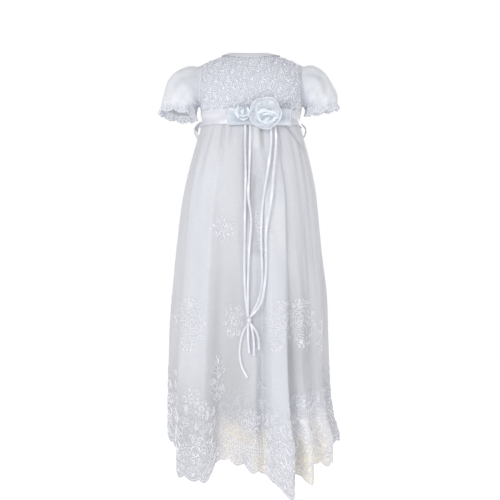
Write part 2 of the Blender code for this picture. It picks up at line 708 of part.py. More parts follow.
def make_ribbons(parent, satin):
    for routes in (RIBBONS, RIBBON_ENDS):
        for count, (name, route) in enumerate(routes.items()):
            hanging_ribbon(name, route, count % 2, satin, parent)
    knot = [(0, -KNOT_HALF), (0.0030, -KNOT_HALF), (0.0038, 0), (0.0030, KNOT_HALF), (0, KNOT_HALF)]
    place = Vector((KNOT_X, (knot_depth(0) + knot_depth(1)) / 2, KNOT_Z))
    turned("ribbon_knot", knot, place, (0, 0, 1), satin, parent, steps=10)


def back_bow_loop(hand, parent, satin):
    """One loop of the bow behind: out from the knot, round beside the waist and back below."""
    route = (
        (0.0062, 0.0650, -0.1165), (0.0300, 0.0700, -0.1110), (0.0620, 0.0660, -0.1105),
        (0.0860, 0.0560, -0.1160), (BOW_REACH, 0.0480, -0.1290), (0.0880, 0.0560, -0.1430),
        (0.0640, 0.0680, -0.1420), (0.0320, 0.0730, -0.1330), (0.0062, 0.0685, -0.1225),
    )
    line = smooth_route(route, 26)
    grid = []
    for k, point in enumerate(line):
        share = k / (len(line) - 1)
        loose = float(ease(0, 0.35, share) * (1 - ease(0.65, 1, share)))
        upright, level = Vector((0, 0.25, 1)), Vector((0, 1, 0.10))
        before, after = line[max(0, k - 1)], line[min(len(line) - 1, k + 1)]
        way = (after - before).normalized()
        wide = upright.lerp(level, loose)
        wide = (wide - way * wide.dot(way)).normalized()
        half = (0.0045 + (BOW_RIBBON / 2 - 0.0045) * float(ease(0, 0.30, min(share, 1 - share))))
        away = Vector((0, half * 0.75 * loose, 0))
        grid.append([
            Vector((hand * p.x, p.y, p.z))
            for p in (point + away - wide * half, point + away + wide * half)
        ])
    middle = Vector((hand * 0.052, 0.064, -0.127))
    name = "back_bow_left" if hand < 0 else "back_bow_right"
    sheet(name, grid, satin, parent, lambda point: point - middle, offset=0)


def back_of_skirt(x, z):
    near = [point for point in BACK_POINTS
            if abs(point[0] - x) < 0.018 and abs(point[2] - z) < 0.030]
    return max(point[1] for point in near)


def make_back_bow(parent, satin):
    for hand in (-1, 1):
        back_bow_loop(hand, parent, satin)
    knot = [(0, -0.0085), (0.0035, -0.0080), (0.0052, -0.0040), (0.0056, 0), (0.0052, 0.0040),
            (0.0035, 0.0080), (0, 0.0085)]
    seat = WAIST_BACK + 2 * CLEAR + WALL + 0.0056
    turned("back_bow_knot", knot, Vector((0, seat, WAIST_SEAM_Z - 0.0015)), (0, 0, 1), satin,
           parent, steps=14)
    for hand, name in ((-1, "back_tail_left"), (1, "back_tail_right")):
        top_z = WAIST_SEAM_Z - 0.0105
        count = 13
        grid = []
        for k in range(count):
            share = k / (count - 1)
            z = top_z + (BOW_TAIL_BOTTOM_Z + hand * 0.012 - top_z) * share
            x = hand * (0.0048 + 0.020 * ease(0, 0.45, share) + 0.012 * share)
            half = 0.0042 + (BOW_RIBBON / 2 - 0.0042) * float(ease(0, 0.30, share))
            half = min(half, abs(float(x)) - 0.0004)
            y = back_of_skirt(float(x), z) + 0.0016 + 0.0040 * float(1 - ease(0, 0.2, share))
            tip = 0.006 if k == count - 1 else 0.0
            grid.append([Vector((float(x) - half, y, z - tip * (hand < 0))),
                         Vector((float(x) + half, y, z - tip * (hand > 0)))])
        smoothed = eased_out([-row[0].y for row in grid])
        for row, depth in zip(grid, smoothed):
            row[0].y = row[1].y = -depth
        sheet(name, grid, satin, parent, lambda point: Vector((0, 1, 0)), offset=0)


def make_buttons(parent, pearl):
    dome = [(0, 0), (BUTTON_RADIUS * 0.8, 0), (BUTTON_RADIUS, 0.0010), (BUTTON_RADIUS * 0.75, 0.0024),
            (0, 0.0030)]
    for k, z in enumerate(BUTTON_HEIGHTS):
        step = 0.002
        y = [float(torso_depth(h, 1)) * float(across_left(BUTTON_X, h)) * float(closing(BUTTON_X, h))
             for h in (z - step, z, z + step)]
        normal = Vector((0, 1, (y[0] - y[2]) / (2 * step))).normalized()
        place = Vector((BUTTON_X, y[1] + SEAM / 2, z)) + normal * CLEAR
        turned(f"button_{k + 1}", dome, place, normal, pearl, parent, steps=12)


def clear_scene():
    for found in list(bpy.data.objects):
        bpy.data.objects.remove(found)


def main():
    clear_scene()
    dress = bpy.data.objects.new("dress", None)
    bpy.context.scene.collection.objects.link(dress)
    lace = material("corded_lace", (0.76, 0.78, 0.83), 0.75, 0.3)
    net = material("embroidered_net", (0.78, 0.79, 0.83), 0.80, 0.2)
    organza = material("sleeve_organza", (0.77, 0.78, 0.83), 0.55, 0.3)
    plain = material("lining_satin", (0.82, 0.81, 0.83), 0.60)
    satin = material("sash_satin", (0.76, 0.80, 0.86), 0.28)
    pearl = material("button_pearl", (0.85, 0.84, 0.82), 0.20)
    make_bodice(dress, lace)
    make_neck(dress, satin)
    for hand in (-1, 1):
        make_sleeve(hand, dress, organza, lace)
    make_skirt(dress, net, plain)
    make_sash(dress, satin)
    make_front_band(dress, satin)
    make_flowers(dress, satin, organza)
    make_ribbons(dress, satin)
    make_back_bow(dress, satin)
    make_buttons(dress, pearl)


FRONT_POINTS = np.concatenate(
    [skirt_point(np.linspace(0.12, 0.38, 140), down) for down in np.linspace(0.02, 0.8, 90)]
)
BACK_POINTS = np.concatenate(
    [skirt_point(np.linspace(0.62, 0.88, 90), down) for down in np.linspace(0.02, 0.6, 60)]
)

main()
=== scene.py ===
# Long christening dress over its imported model: lace bodice, puff sleeves, satin sash with a flower
# and hanging ribbons, a tied bow behind, and a sheer embroidered skirt over a plain lining.
import bpy
import bmesh
import math
import numpy as np
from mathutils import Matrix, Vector


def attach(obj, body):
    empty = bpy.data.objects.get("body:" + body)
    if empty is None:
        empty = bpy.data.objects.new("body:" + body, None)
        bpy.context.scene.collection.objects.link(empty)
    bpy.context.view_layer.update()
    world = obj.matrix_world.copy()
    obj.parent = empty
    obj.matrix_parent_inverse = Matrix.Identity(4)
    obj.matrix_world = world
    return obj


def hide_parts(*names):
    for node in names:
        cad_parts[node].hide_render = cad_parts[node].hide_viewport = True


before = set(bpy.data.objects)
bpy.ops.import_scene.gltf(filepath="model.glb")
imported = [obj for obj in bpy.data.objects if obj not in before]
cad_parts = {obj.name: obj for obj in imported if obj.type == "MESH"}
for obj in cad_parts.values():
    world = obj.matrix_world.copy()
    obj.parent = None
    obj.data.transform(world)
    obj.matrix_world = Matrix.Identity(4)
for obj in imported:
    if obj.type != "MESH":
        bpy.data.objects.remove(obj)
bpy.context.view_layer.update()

camera = {"across": -0.0017, "height": -0.3398, "away": 1.9, "lens": 79.72}
studio = {
    "skyLight": 0.58, "floorHeight": -0.96, "floorGlow": 0.50, "aim": (0, 0, -0.36),
    "lamps": (  # name, place, power, size
        ("keyLamp", (-1.4, -2.6, 0.9), 33.0, 1.0),
        ("sideLamp", (2.2, -1.2, 0.1), 7.0, 1.6),
        ("backLamp", (0.8, 2.4, 0.8), 14.0, 1.6),
    ),
}


def addObject(name, data):
    made = bpy.data.objects.new(name, data)
    bpy.context.scene.collection.objects.link(made)
    return made


def setStudio():
    scene = bpy.context.scene
    lens = bpy.data.cameras.new("viewCamera")
    lens.lens, lens.sensor_width = camera["lens"], 36
    scene.camera = addObject("viewCamera", lens)
    scene.camera.location = (camera["across"], -camera["away"], camera["height"])
    scene.camera.rotation_euler = (math.pi / 2, 0, 0)
    sky = bpy.data.worlds.new("whiteSky")
    sky.use_nodes = True
    soft = sky.node_tree.nodes["Background"]
    soft.inputs["Strength"].default_value = studio["skyLight"]
    soft.inputs["Color"].default_value = (1, 1, 1, 1)
    backdrop = nodeOn(sky, "ShaderNodeBackground", Color=(1, 1, 1, 1))
    seen = nodeOn(sky, "ShaderNodeLightPath")  # a white backdrop, with softer light on the cloth
    choose = nodeOn(sky, "ShaderNodeMixShader")
    join(sky, seen.outputs["Is Camera Ray"], choose.inputs[0])
    join(sky, soft.outputs[0], choose.inputs[1])
    join(sky, backdrop.outputs[0], choose.inputs[2])
    join(sky, choose.outputs[0], sky.node_tree.nodes["World Output"].inputs["Surface"])
    scene.world = sky
    scene.view_settings.view_transform = "Standard"
    for name, place, power, size in studio["lamps"]:
        light = bpy.data.lights.new(name, "AREA")
        light.energy, light.size = power, size
        lamp = addObject(name, light)
        lamp.location = place
        lamp.rotation_euler = (Vector(studio["aim"]) - Vector(place)).to_track_quat("-Z", "Y").to_euler()
    bm = bmesh.new()
    bmesh.ops.create_grid(bm, x_segments=2, y_segments=2, size=6)
    bmesh.ops.translate(bm, verts=bm.verts, vec=(0, 0, studio["floorHeight"]))
    mesh = bpy.data.meshes.new("paleFloor")
    bm.to_mesh(mesh)
    bm.free()
    paint, shader = newFinish("floorWhite", (0.9, 0.9, 0.9), 0.9)
    shader.inputs["Emission Color"].default_value = (1, 1, 1, 1)
    shader.inputs["Emission Strength"].default_value = studio["floorGlow"]
    mesh.materials.append(paint)
    addObject("paleFloor", mesh)


# small sums shared by the pieces
def smoothTable(stations, values, at):
    stations, values = np.asarray(stations, float), np.asarray(values, float)
    if stations[0] > stations[-1]:
        stations, values = stations[::-1], values[::-1]
    step = np.diff(stations)
    slope = np.diff(values) / step
    tangent = np.zeros(len(values))
    same = slope[:-1] * slope[1:] > 0
    tangent[1:-1][same] = 2 * slope[:-1][same] * slope[1:][same] / (slope[:-1][same] + slope[1:][same])
    tangent[0], tangent[-1] = slope[0], slope[-1]
    at = np.clip(np.asarray(at, float), stations[0], stations[-1])
    k = np.clip(np.searchsorted(stations, at, side="right") - 1, 0, len(step) - 1)
    t = (at - stations[k]) / step[k]
    return (
        values[k] * (1 + 2 * t) * (1 - t) ** 2 + tangent[k] * step[k] * t * (1 - t) ** 2
        + values[k + 1] * t**2 * (3 - 2 * t) - tangent[k + 1] * step[k] * t**2 * (1 - t)
    )


def easeStep(low, high, at):
    t = np.clip((np.asarray(at, float) - low) / (high - low), 0, 1)
    return t * t * (3 - 2 * t)


def ovalAt(section, share):
    left, right, front, back, power = section
    share = np.asarray(share, float) % 1.0
    across = np.sin(2 * np.pi * share - np.pi / 2)
    depth = np.sqrt(np.clip(1 - np.abs(across) ** power, 0, 1))
    return np.where(across < 0, left, right) * across, np.where(share < 0.5, -front * depth, back * depth)


def ovalWithNormal(section, share):
    near = 0.004
    x, y = ovalAt(section, share)
    x0, y0 = ovalAt(section, share - near)
    x1, y1 = ovalAt(section, share + near)
    along = np.stack([x1 - x0, y1 - y0], axis=-1)
    along /= np.linalg.norm(along, axis=-1, keepdims=True)
    return x, y, along, np.stack([along[..., 1], -along[..., 0]], axis=-1)


# cloth and thread makers
def finishPiece(name, bm, finish, smooth=True):
    mesh = bpy.data.meshes.new(name)
    bm.to_mesh(mesh)
    bm.free()
    if smooth:
        mesh.shade_smooth()
    mesh.materials.append(finish)
    piece = addObject(name, mesh)
    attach(piece, "root")
    return piece


def fromMiddle(point):
    return Vector((point.x, point.y, 0))


def eachPoint(spot):
    return lambda across, up: [spot(a, u) for a, u in zip(across, up)]


def clothPiece(name, columns, rows, place, size, finish, facing=fromMiddle, closed=False,
               thick=0.0, offset=-1.0, tint=None):
    bm = bmesh.new()
    weave = bm.loops.layers.uv.new("weave")
    bmesh.ops.create_grid(bm, x_segments=columns, y_segments=rows, size=0.5)
    for face in bm.faces:
        for loop in face.loops:
            loop[weave].uv = ((loop.vert.co.x + 0.5) * size[0], (loop.vert.co.y + 0.5) * size[1])
    across = np.array([vert.co.x for vert in bm.verts]) + 0.5
    up = np.array([vert.co.y for vert in bm.verts]) + 0.5
    for label, shade in (tint or {}).items():
        stain = bm.verts.layers.float.new(label)
        for vert, value in zip(bm.verts, shade(across, up)):
            vert[stain] = float(value)
    for vert, point in zip(bm.verts, place(across, up)):
        vert.co = point
    if closed:
        bmesh.ops.remove_doubles(bm, verts=bm.verts, dist=1e-5)
    bm.normal_update()
    if sum(f.normal.dot(facing(f.calc_center_median())) * f.calc_area() for f in bm.faces) < 0:
        bmesh.ops.reverse_faces(bm, faces=bm.faces)
    piece = finishPiece(name, bm, finish)
    if thick:
        wall = piece.modifiers.new("clothWall", "SOLIDIFY")
        wall.thickness, wall.offset = thick, offset
        crisp = piece.modifiers.new("cutEdge", "EDGE_SPLIT")
        crisp.split_angle = math.radians(50)
    return piece


def strokeOf(along, up, thick=1.0):
    # the columns of every stroke: along, up and how thick the thread is there
    return np.stack(np.broadcast_arrays(along, up, thick), axis=-1).astype(float)


def threadPiece(name, strokes, host, thickness, finish, lift=0.0):
    flat = np.concatenate(strokes)
    placed = host(flat[:, 0], flat[:, 1], lift)
    curve = bpy.data.curves.new(name, "CURVE")
    curve.dimensions = "3D"
    curve.bevel_depth, curve.bevel_resolution, curve.use_fill_caps = thickness / 2, 0, True
    done = 0
    for stroke in strokes:
        points = placed[done:done + len(stroke)]
        spline = curve.splines.new("POLY")
        spline.points.add(len(points) - 1)
        spline.points.foreach_set("co", np.column_stack([points, np.ones(len(points))]).ravel())
        spline.points.foreach_set("radius", stroke[:, 2])
        done += len(stroke)
    holder = addObject(name + "Guide", curve)
    bpy.context.view_layer.update()
    mesh = bpy.data.meshes.new_from_object(holder.evaluated_get(bpy.context.evaluated_depsgraph_get()))
    bpy.data.objects.remove(holder)
    bpy.data.curves.remove(curve)
    bm = bmesh.new()
    bm.from_mesh(mesh)
    bpy.data.meshes.remove(mesh)
    return finishPiece(name, bm, finish)


# finishes
def newFinish(name, colour, roughness, sheen=0.0):
    finish = bpy.data.materials.new(name)
    finish.use_nodes = True
    shader = finish.node_tree.nodes["Principled BSDF"]
    shader.inputs["Base Color"].default_value = (*colour, 1)
    shader.inputs["Roughness"].default_value = roughness
    shader.inputs["Sheen Weight"].default_value = sheen
    shader.inputs["Sheen Roughness"].default_value = 0.4
    return finish, shader


def nodeOn(owner, kind, **inputs):
    node = owner.node_tree.nodes.new(kind)
    for key, value in inputs.items():
        node.inputs[key.replace("_", " ")].default_value = value
    return node


def join(owner, source, target):
    owner.node_tree.links.new(source, target)


def stretchedPattern(finish, scale, source="UV"):
    mapping = nodeOn(finish, "ShaderNodeMapping", Scale=scale)
    join(finish, nodeOn(finish, "ShaderNodeTexCoord").outputs[source], mapping.inputs["Vector"])
    return mapping.outputs["Vector"]


def noiseOn(finish, scale, detail=2.0, source="UV"):
    noise = nodeOn(finish, "ShaderNodeTexNoise", Scale=1.0, Detail=detail, Roughness=0.55)
    join(finish, stretchedPattern(finish, scale, source), noise.inputs["Vector"])
    return noise.outputs["Fac"]


def cellsOn(finish, scale, source="UV", feature="F1"):
    cells = nodeOn(finish, "ShaderNodeTexVoronoi", Scale=1.0)
    cells.feature = feature
    join(finish, stretchedPattern(finish, (scale, scale, scale), source), cells.inputs["Vector"])
    return cells.outputs["Distance"]


def rampOn(finish, factor, stops):
    ramp = nodeOn(finish, "ShaderNodeValToRGB")
    while len(ramp.color_ramp.elements) < len(stops):
        ramp.color_ramp.elements.new(0.5)
    for element, (at, colour) in zip(ramp.color_ramp.elements, stops):
        element.position, element.color = at, (*colour, 1)
    join(finish, factor, ramp.inputs["Fac"])
    return ramp.outputs["Color"]


def rangeOn(finish, value, fromMin, fromMax, toMin=0.0, toMax=1.0):
    node = nodeOn(finish, "ShaderNodeMapRange", From_Min=fromMin, From_Max=fromMax, To_Min=toMin, To_Max=toMax)
    join(finish, value, node.inputs["Value"])
    return node.outputs["Result"]


def bumpOn(finish, height, strength, distance, under=None):
    bump = nodeOn(finish, "ShaderNodeBump", Strength=strength, Distance=distance)
    join(finish, height, bump.inputs["Height"])
    if under is not None:
        join(finish, under, bump.inputs["Normal"])
    return bump.outputs["Normal"]


def mixOn(finish, factor, first, second, blend="MIX"):
    mix = finish.node_tree.nodes.new("ShaderNodeMix")
    mix.data_type, mix.blend_type = "RGBA", blend
    for socket, value in ((mix.inputs[0], factor), (mix.inputs[6], first), (mix.inputs[7], second)):
        if isinstance(value, (tuple, float)):
            socket.default_value = value
        else:
            join(finish, value, socket)
    return mix.outputs[2]


def dress(finish, shader, colour, normal=None):
    join(finish, colour, shader.inputs["Base Color"])
    if normal is not None:
        join(finish, normal, shader.inputs["Normal"])
    return finish


def makeSatin(name, dark, light, roughness=0.30, ripple=0.0):
    finish, shader = newFinish(name, light, roughness, 0.15)
    shader.inputs["Coat Weight"].default_value = 0.20
    shader.inputs["Coat Roughness"].default_value = 0.25
    cloud = noiseOn(finish, (18, 60, 18), 3.0)
    rib = bumpOn(finish, noiseOn(finish, (60, 900, 60), 2.0), 0.25, 0.0003)
    drape = bumpOn(finish, noiseOn(finish, (55, 85, 55), 1.0), ripple, 0.0030, rib)
    return dress(finish, shader, rampOn(finish, cloud, ((0.3, dark), (0.7, light))), drape)


def makeSheer(name, dark, light, alphaLow, alphaHigh, slub):
    finish, shader = newFinish(name, light, 0.55, 0.25)
    slubs = noiseOn(finish, slub, 3.0)
    cloud = noiseOn(finish, (9, 5, 9), 2.0)
    cloth = mixOn(finish, 0.35, rampOn(finish, slubs, ((0.35, dark), (0.68, light))),
                  rampOn(finish, cloud, ((0.35, dark), (0.65, light))))
    join(finish, rangeOn(finish, slubs, 0.35, 0.65, alphaLow, alphaHigh), shader.inputs["Alpha"])
    return dress(finish, shader, cloth, bumpOn(finish, slubs, 0.35, 0.0004))


# the net's colours: a painted shade, the net's own colour, a painted light above it, and a painted warm shade for the
# hem recesses
netLook = {
    "shaded": (0.56, 0.56, 0.58), "clear": (0.775, 0.794, 0.858), "paintedLit": (0.92, 0.92, 0.945),
    "warmShade": (0.91, 0.845, 0.725), "slub": 0.05, "dots": 330, "dotRelief": 0.7,
    "borderTop": 0.135, "borderSoft": (0.012, 0.030), "sheer": 0.86, "close": 0.975,
}


def makeNet():
    n = netLook
    finish, shader = newFinish("skirtNetCloth", n["clear"], 0.6, 0.3)
    paintedShading, warmShade = (nodeOn(finish, "ShaderNodeAttribute") for _ in range(2))
    paintedShading.attribute_name, warmShade.attribute_name = "paintedShading", "warmShade"
    nearly = tuple(a + 0.9 * (b - a) for a, b in zip(n["shaded"], n["clear"]))
    # painted light and shade: a per-point attribute runs the colour from a painted shade through the net's own colour
    # to a painted light
    colour = rampOn(finish, paintedShading.outputs["Fac"], ((0.0, n["shaded"]), (0.9, nearly), (1.0, n["paintedLit"])))
    slubs = noiseOn(finish, (48, 640, 48), 3.0)
    cloud = noiseOn(finish, (16, 9, 16), 3.0)
    streaks = rampOn(finish, slubs, ((0.38, (0.90, 0.90, 0.90)), (0.66, (1.05, 1.05, 1.05))))
    clouds = rampOn(finish, cloud, ((0.35, (0.95, 0.95, 0.95)), (0.65, (1, 1, 1))))
    colour = mixOn(finish, 0.35, colour, streaks, "MULTIPLY")
    colour = mixOn(finish, 1.0, colour, clouds, "MULTIPLY")
    # painted warm shade on the hem recesses
    colour = mixOn(finish, warmShade.outputs["Fac"], colour, (*n["warmShade"], 1))
    # the border is lace: a dotted ground whose small gaps are darker
    split = nodeOn(finish, "ShaderNodeSeparateXYZ")
    join(finish, nodeOn(finish, "ShaderNodeTexCoord").outputs["UV"], split.inputs[0])
    border = rangeOn(finish, split.outputs["Y"], n["borderTop"] + n["borderSoft"][0],
                     n["borderTop"] - n["borderSoft"][1])
    dots = cellsOn(finish, n["dots"])
    dotted = rampOn(finish, dots, ((0.12, (1.10, 1.10, 1.11)), (0.34, (0.94, 0.94, 0.95)),
                                   (0.62, (0.80, 0.80, 0.81))))
    lace = mixOn(finish, border, colour, mixOn(finish, 1.0, colour, dotted, "MULTIPLY"))
    join(finish, rangeOn(finish, border, 0.0, 1.0, n["sheer"], n["close"]), shader.inputs["Alpha"])
    relief = nodeOn(finish, "ShaderNodeMath")
    relief.operation = "MULTIPLY"
    join(finish, dots, relief.inputs[0])
    join(finish, border, relief.inputs[1])
    weave = bumpOn(finish, slubs, n["slub"], 0.0004)
    return dress(finish, shader, lace, bumpOn(finish, relief.outputs[0], -n["dotRelief"], 0.0012, weave))


def makeLaceGround(name, dark, light, cell):
    finish, shader = newFinish(name, light, 0.75, 0.2)
    net = cellsOn(finish, 1 / cell, "Object", "DISTANCE_TO_EDGE")
    return dress(finish, shader, rampOn(finish, net, ((0.04, light), (0.30, dark))),
                 bumpOn(finish, net, -0.6, 0.0008))


def makeThread(name, dark, light, roughness=0.55):
    finish, shader = newFinish(name, light, roughness, 0.2)
    twist = noiseOn(finish, (700, 700, 700), 2.0, "Object")
    return dress(finish, shader, rampOn(finish, twist, ((0.3, dark), (0.7, light))),
                 bumpOn(finish, twist, 0.5, 0.0003))


def makePearl(name, colour):
    finish, shader = newFinish(name, colour, 0.18, 0.0)
    shader.inputs["Coat Weight"].default_value = 0.6
    cloud = noiseOn(finish, (220, 220, 220), 2.0, "Object")
    return dress(finish, shader, rampOn(finish, cloud, ((0.3, tuple(c * 0.9 for c in colour)), (0.7, colour))))


# the skirt's folds and sizes
skirtSizes = {
    "waist": -0.1175, "seam": 0.0006, "bodyPower": 3.4, "hemPower": 2.4, "gathers": 22, "gatherDepth": 0.0018,
    "scallops": 36, "scallopDepth": 0.0060, "columns": 720, "rows": 110,
    "liningHem": -0.6200, "liningTuck": 0.0060, "liningUnder": 0.0016,
    "height": (-0.1175, -0.150, -0.200, -0.250, -0.340, -0.426, -0.490, -0.545, -0.614, -0.660, -0.720),
    "left": (0.0825, 0.0905, 0.1040, 0.1145, 0.1225, 0.1275, 0.1300, 0.1310, 0.1320, 0.1325, 0.1325),
    "right": (0.0825, 0.0905, 0.1030, 0.1110, 0.1145, 0.1190, 0.1175, 0.1165, 0.1225, 0.1345, 0.1360),
    "front": (0.0615, 0.0650, 0.0690, 0.0720, 0.0760, 0.0790, 0.0810, 0.0825, 0.0840, 0.0850, 0.0855),
    "back": (0.0565, 0.0600, 0.0640, 0.0670, 0.0710, 0.0740, 0.0760, 0.0775, 0.0790, 0.0800, 0.0805),
}
foldTable = {  # place round the skirt: stands out, leans, hem height, where it starts
    0.000: (0.011, 0.000, -0.656, 0.05), 0.058: (0.003, 0.000, -0.672, 0.10),
    0.118: (0.025, 0.000, -0.714, 0.12), 0.160: (0.026, 0.003, -0.719, 0.12),
    0.193: (0.002, -0.002, -0.684, 0.15), 0.230: (0.011, 0.000, -0.692, 0.10),
    0.258: (0.009, 0.000, -0.706, 0.10), 0.276: (0.003, 0.000, -0.706, 0.20),
    0.295: (0.036, 0.000, -0.722, 0.22), 0.315: (0.044, 0.003, -0.742, 0.22),
    0.336: (0.010, -0.006, -0.705, 0.20), 0.358: (0.026, 0.000, -0.723, 0.18),
    0.385: (0.003, 0.000, -0.694, 0.15), 0.425: (0.013, 0.000, -0.701, 0.12),
    0.470: (0.002, 0.000, -0.674, 0.10), 0.500: (0.018, 0.000, -0.666, 0.10),
    0.540: (0.004, 0.000, -0.680, 0.12), 0.582: (0.022, 0.000, -0.699, 0.12),
    0.622: (0.003, 0.000, -0.692, 0.15), 0.664: (0.027, 0.000, -0.706, 0.18),
    0.704: (0.004, 0.000, -0.698, 0.15), 0.742: (0.020, 0.000, -0.704, 0.12),
    0.780: (0.003, 0.000, -0.697, 0.15), 0.824: (0.028, 0.000, -0.707, 0.15),
    0.866: (0.004, 0.000, -0.694, 0.12), 0.908: (0.021, 0.000, -0.696, 0.12),
    0.950: (0.003, 0.000, -0.680, 0.10),
}
raisedFolds = (  # share where it rises, width of that rise, share where it falls, width, height, from, full
    (0.092, 0.016, 0.164, 0.006, 0.0040, 0.14, 0.34),
    (0.279, 0.006, 0.334, 0.004, 0.0060, 0.10, 0.26),
    (0.352, 0.006, 0.392, 0.008, 0.0030, 0.10, 0.40),
    (0.430, 0.010, 0.470, 0.010, 0.0030, 0.10, 0.40),
)
pressedLines = (  # share and height of its upper end, of its lower end, width, depth
    (0.160, 0.014, 0.165, 0.12, 0.0075, 0.0044), (0.193, 0.014, 0.192, 0.08, 0.0065, 0.0026),
    (0.236, 0.014, 0.239, 0.26, 0.0062, 0.0058), (0.283, 0.014, 0.279, 0.09, 0.0090, 0.0052),
    (0.262, 0.160, 0.262, 0.28, 0.0120, 0.0060), (0.362, 0.010, 0.438, 0.085, 0.0090, 0.0060),
    (0.118, 0.018, 0.098, 0.16, 0.0080, 0.0022), (0.330, 0.018, 0.341, 0.20, 0.0060, 0.0034),
    (0.560, 0.018, 0.565, 0.20, 0.0060, 0.0030), (0.610, 0.018, 0.618, 0.26, 0.0060, 0.0034),
    (0.655, 0.018, 0.650, 0.16, 0.0050, 0.0026), (0.700, 0.018, 0.704, 0.24, 0.0060, 0.0034),
    (0.798, 0.018, 0.790, 0.22, 0.0060, 0.0034), (0.846, 0.018, 0.850, 0.16, 0.0050, 0.0026),
    (0.890, 0.018, 0.884, 0.26, 0.0060, 0.0034), (0.940, 0.018, 0.935, 0.20, 0.0060, 0.0030),
)


def reliefAt(share, down):
    lift = np.zeros_like(share)
    for rise, riseWidth, fall, fallWidth, height, begins, full in raisedFolds:
        inside = easeStep(rise - riseWidth, rise + riseWidth, share)
        inside = inside * (1 - easeStep(fall - fallWidth, fall + fallWidth, share))
        lift = lift + height * inside * easeStep(begins, full, down)
    for top, topDown, low, lowDown, width, depth in pressedLines:
        run = np.clip((down - topDown) / (lowDown - topDown), 0, 1)
        line = np.exp(-(((share - top - (low - top) * run) / (width * (0.7 + 0.6 * run))) ** 2))
        held = easeStep(topDown - 0.004, topDown + 0.02, down) * (1 - easeStep(0.75 * lowDown, 1.25 * lowDown, down))
        lift = lift - depth * line * held
    ripple = np.sin(2 * np.pi * (31 * share + 0.4 * np.sin(9 * down))) * np.sin(5 * down + 40 * share)
    return lift + 0.0005 * ripple * easeStep(0.05, 0.3, down)


def foldAt(share):
    places = np.array(list(foldTable))
    values = np.array(list(foldTable.values()))
    places = np.concatenate([places[-1:] - 1, places, places[:1] + 1])
    values = np.concatenate([values[-1:], values, values[:1]])
    share = np.asarray(share, float) % 1.0
    k = np.searchsorted(places, share, side="right") - 1
    t = ((share - places[k]) / (places[k + 1] - places[k]))[..., None]
    found = values[k] + (values[k + 1] - values[k]) * 0.5 * (1 - np.cos(np.pi * t))
    return tuple(np.moveaxis(found, -1, 0))


def skirtSection(z, inside=0.0):
    s = skirtSizes
    sizes = [smoothTable(s["height"], s[side], z) - inside for side in ("left", "right", "front", "back")]
    opened = easeStep(-s["height"][0], -s["height"][5], -z)
    return (*sizes, s["bodyPower"] + (s["hemPower"] - s["bodyPower"]) * opened)


def skirtPoint(share, down, scallops=True):
    s = skirtSizes
    share, down = np.broadcast_arrays(np.asarray(share, float), np.asarray(down, float))
    out, slide, hem, start = foldAt(share)
    z = s["waist"] - s["seam"] + (hem - s["waist"]) * down
    if scallops:
        notch = 1 - np.abs(np.cos(np.pi * s["scallops"] * share)) ** 0.7
        z = z + s["scallopDepth"] * notch * easeStep(0.93, 1.0, down)
    x, y, along, outward = ovalWithNormal(skirtSection(z), share)
    grown = easeStep(0, 1, (down - start) / 0.75)
    wander = 0.35 * np.sin(2 * np.pi * 3 * share) + 0.25 * np.sin(2 * np.pi * 7 * share + 1.0)
    gather = 0.5 + 0.5 * np.cos(2 * np.pi * (s["gathers"] * share + wander))
    gathered = easeStep(0.024, 0.075, down) * (1 - easeStep(0.10, 0.42, down))
    gathered = gathered * easeStep(0, 0.03, np.abs((share + 0.25) % 0.5 - 0.25))
    away = out * grown + s["gatherDepth"] * gather * gathered + reliefAt(share % 1.0, down)
    lean = slide * grown
    return np.stack([x + outward[..., 0] * away + along[..., 0] * lean,
                     y + outward[..., 1] * away + along[..., 1] * lean, z], axis=-1)


def surfaceLift(surface, a, b, lift, stepA=0.0008, stepB=0.002):
    here = surface(a, b)
    if not lift:
        return here
    alongA = surface(a + stepA, b) - surface(a - stepA, b)
    alongB = surface(a, np.minimum(b + stepB, 1)) - surface(a, b - stepB)
    normal = np.cross(alongA, alongB)
    normal /= np.linalg.norm(normal, axis=-1, keepdims=True) + 1e-12
    outward = np.sign((normal[:, :2] * here[:, :2]).sum(axis=1))
    return here + normal * (outward * lift)[:, None]


hemShares = np.linspace(0, 1, 4001)
hemWalk = skirtPoint(hemShares, 0.96, scallops=False)
hemGirths = np.concatenate([[0], np.cumsum(np.linalg.norm(np.diff(hemWalk, axis=0), axis=1))])
hemGirth = float(hemGirths[-1])


def onSkirt(along, up, lift):
    # along runs round the hem in metres, up climbs from the hem edge in metres
    share = np.interp(along % hemGirth, hemGirths, hemShares)
    length = skirtSizes["waist"] - foldAt(share)[2]
    return surfaceLift(skirtPoint, share, 1 - up / length, lift)


def girthAt(share):
    return float(np.interp(share, hemShares, hemGirths))


def liningPoint(share, down):
    s = skirtSizes
    z = s["waist"] - s["seam"] + (s["liningHem"] - s["waist"]) * down
    section = skirtSection(z, inside=s["liningUnder"] + s["liningTuck"] * easeStep(0, 0.5, down))
    x, y, _, outward = ovalWithNormal(section, share)
    ripple = -0.0022 * (0.5 + 0.5 * np.cos(2 * np.pi * 11 * share + 0.8)) * easeStep(0.1, 0.9, down)
    level = (s["waist"] - z) / (s["waist"] - foldAt(share)[2])
    ripple = ripple + np.minimum(reliefAt(share % 1.0, level), 0) * 1.1
    return np.stack([x + outward[..., 0] * ripple, y + outward[..., 1] * ripple, z], axis=-1)


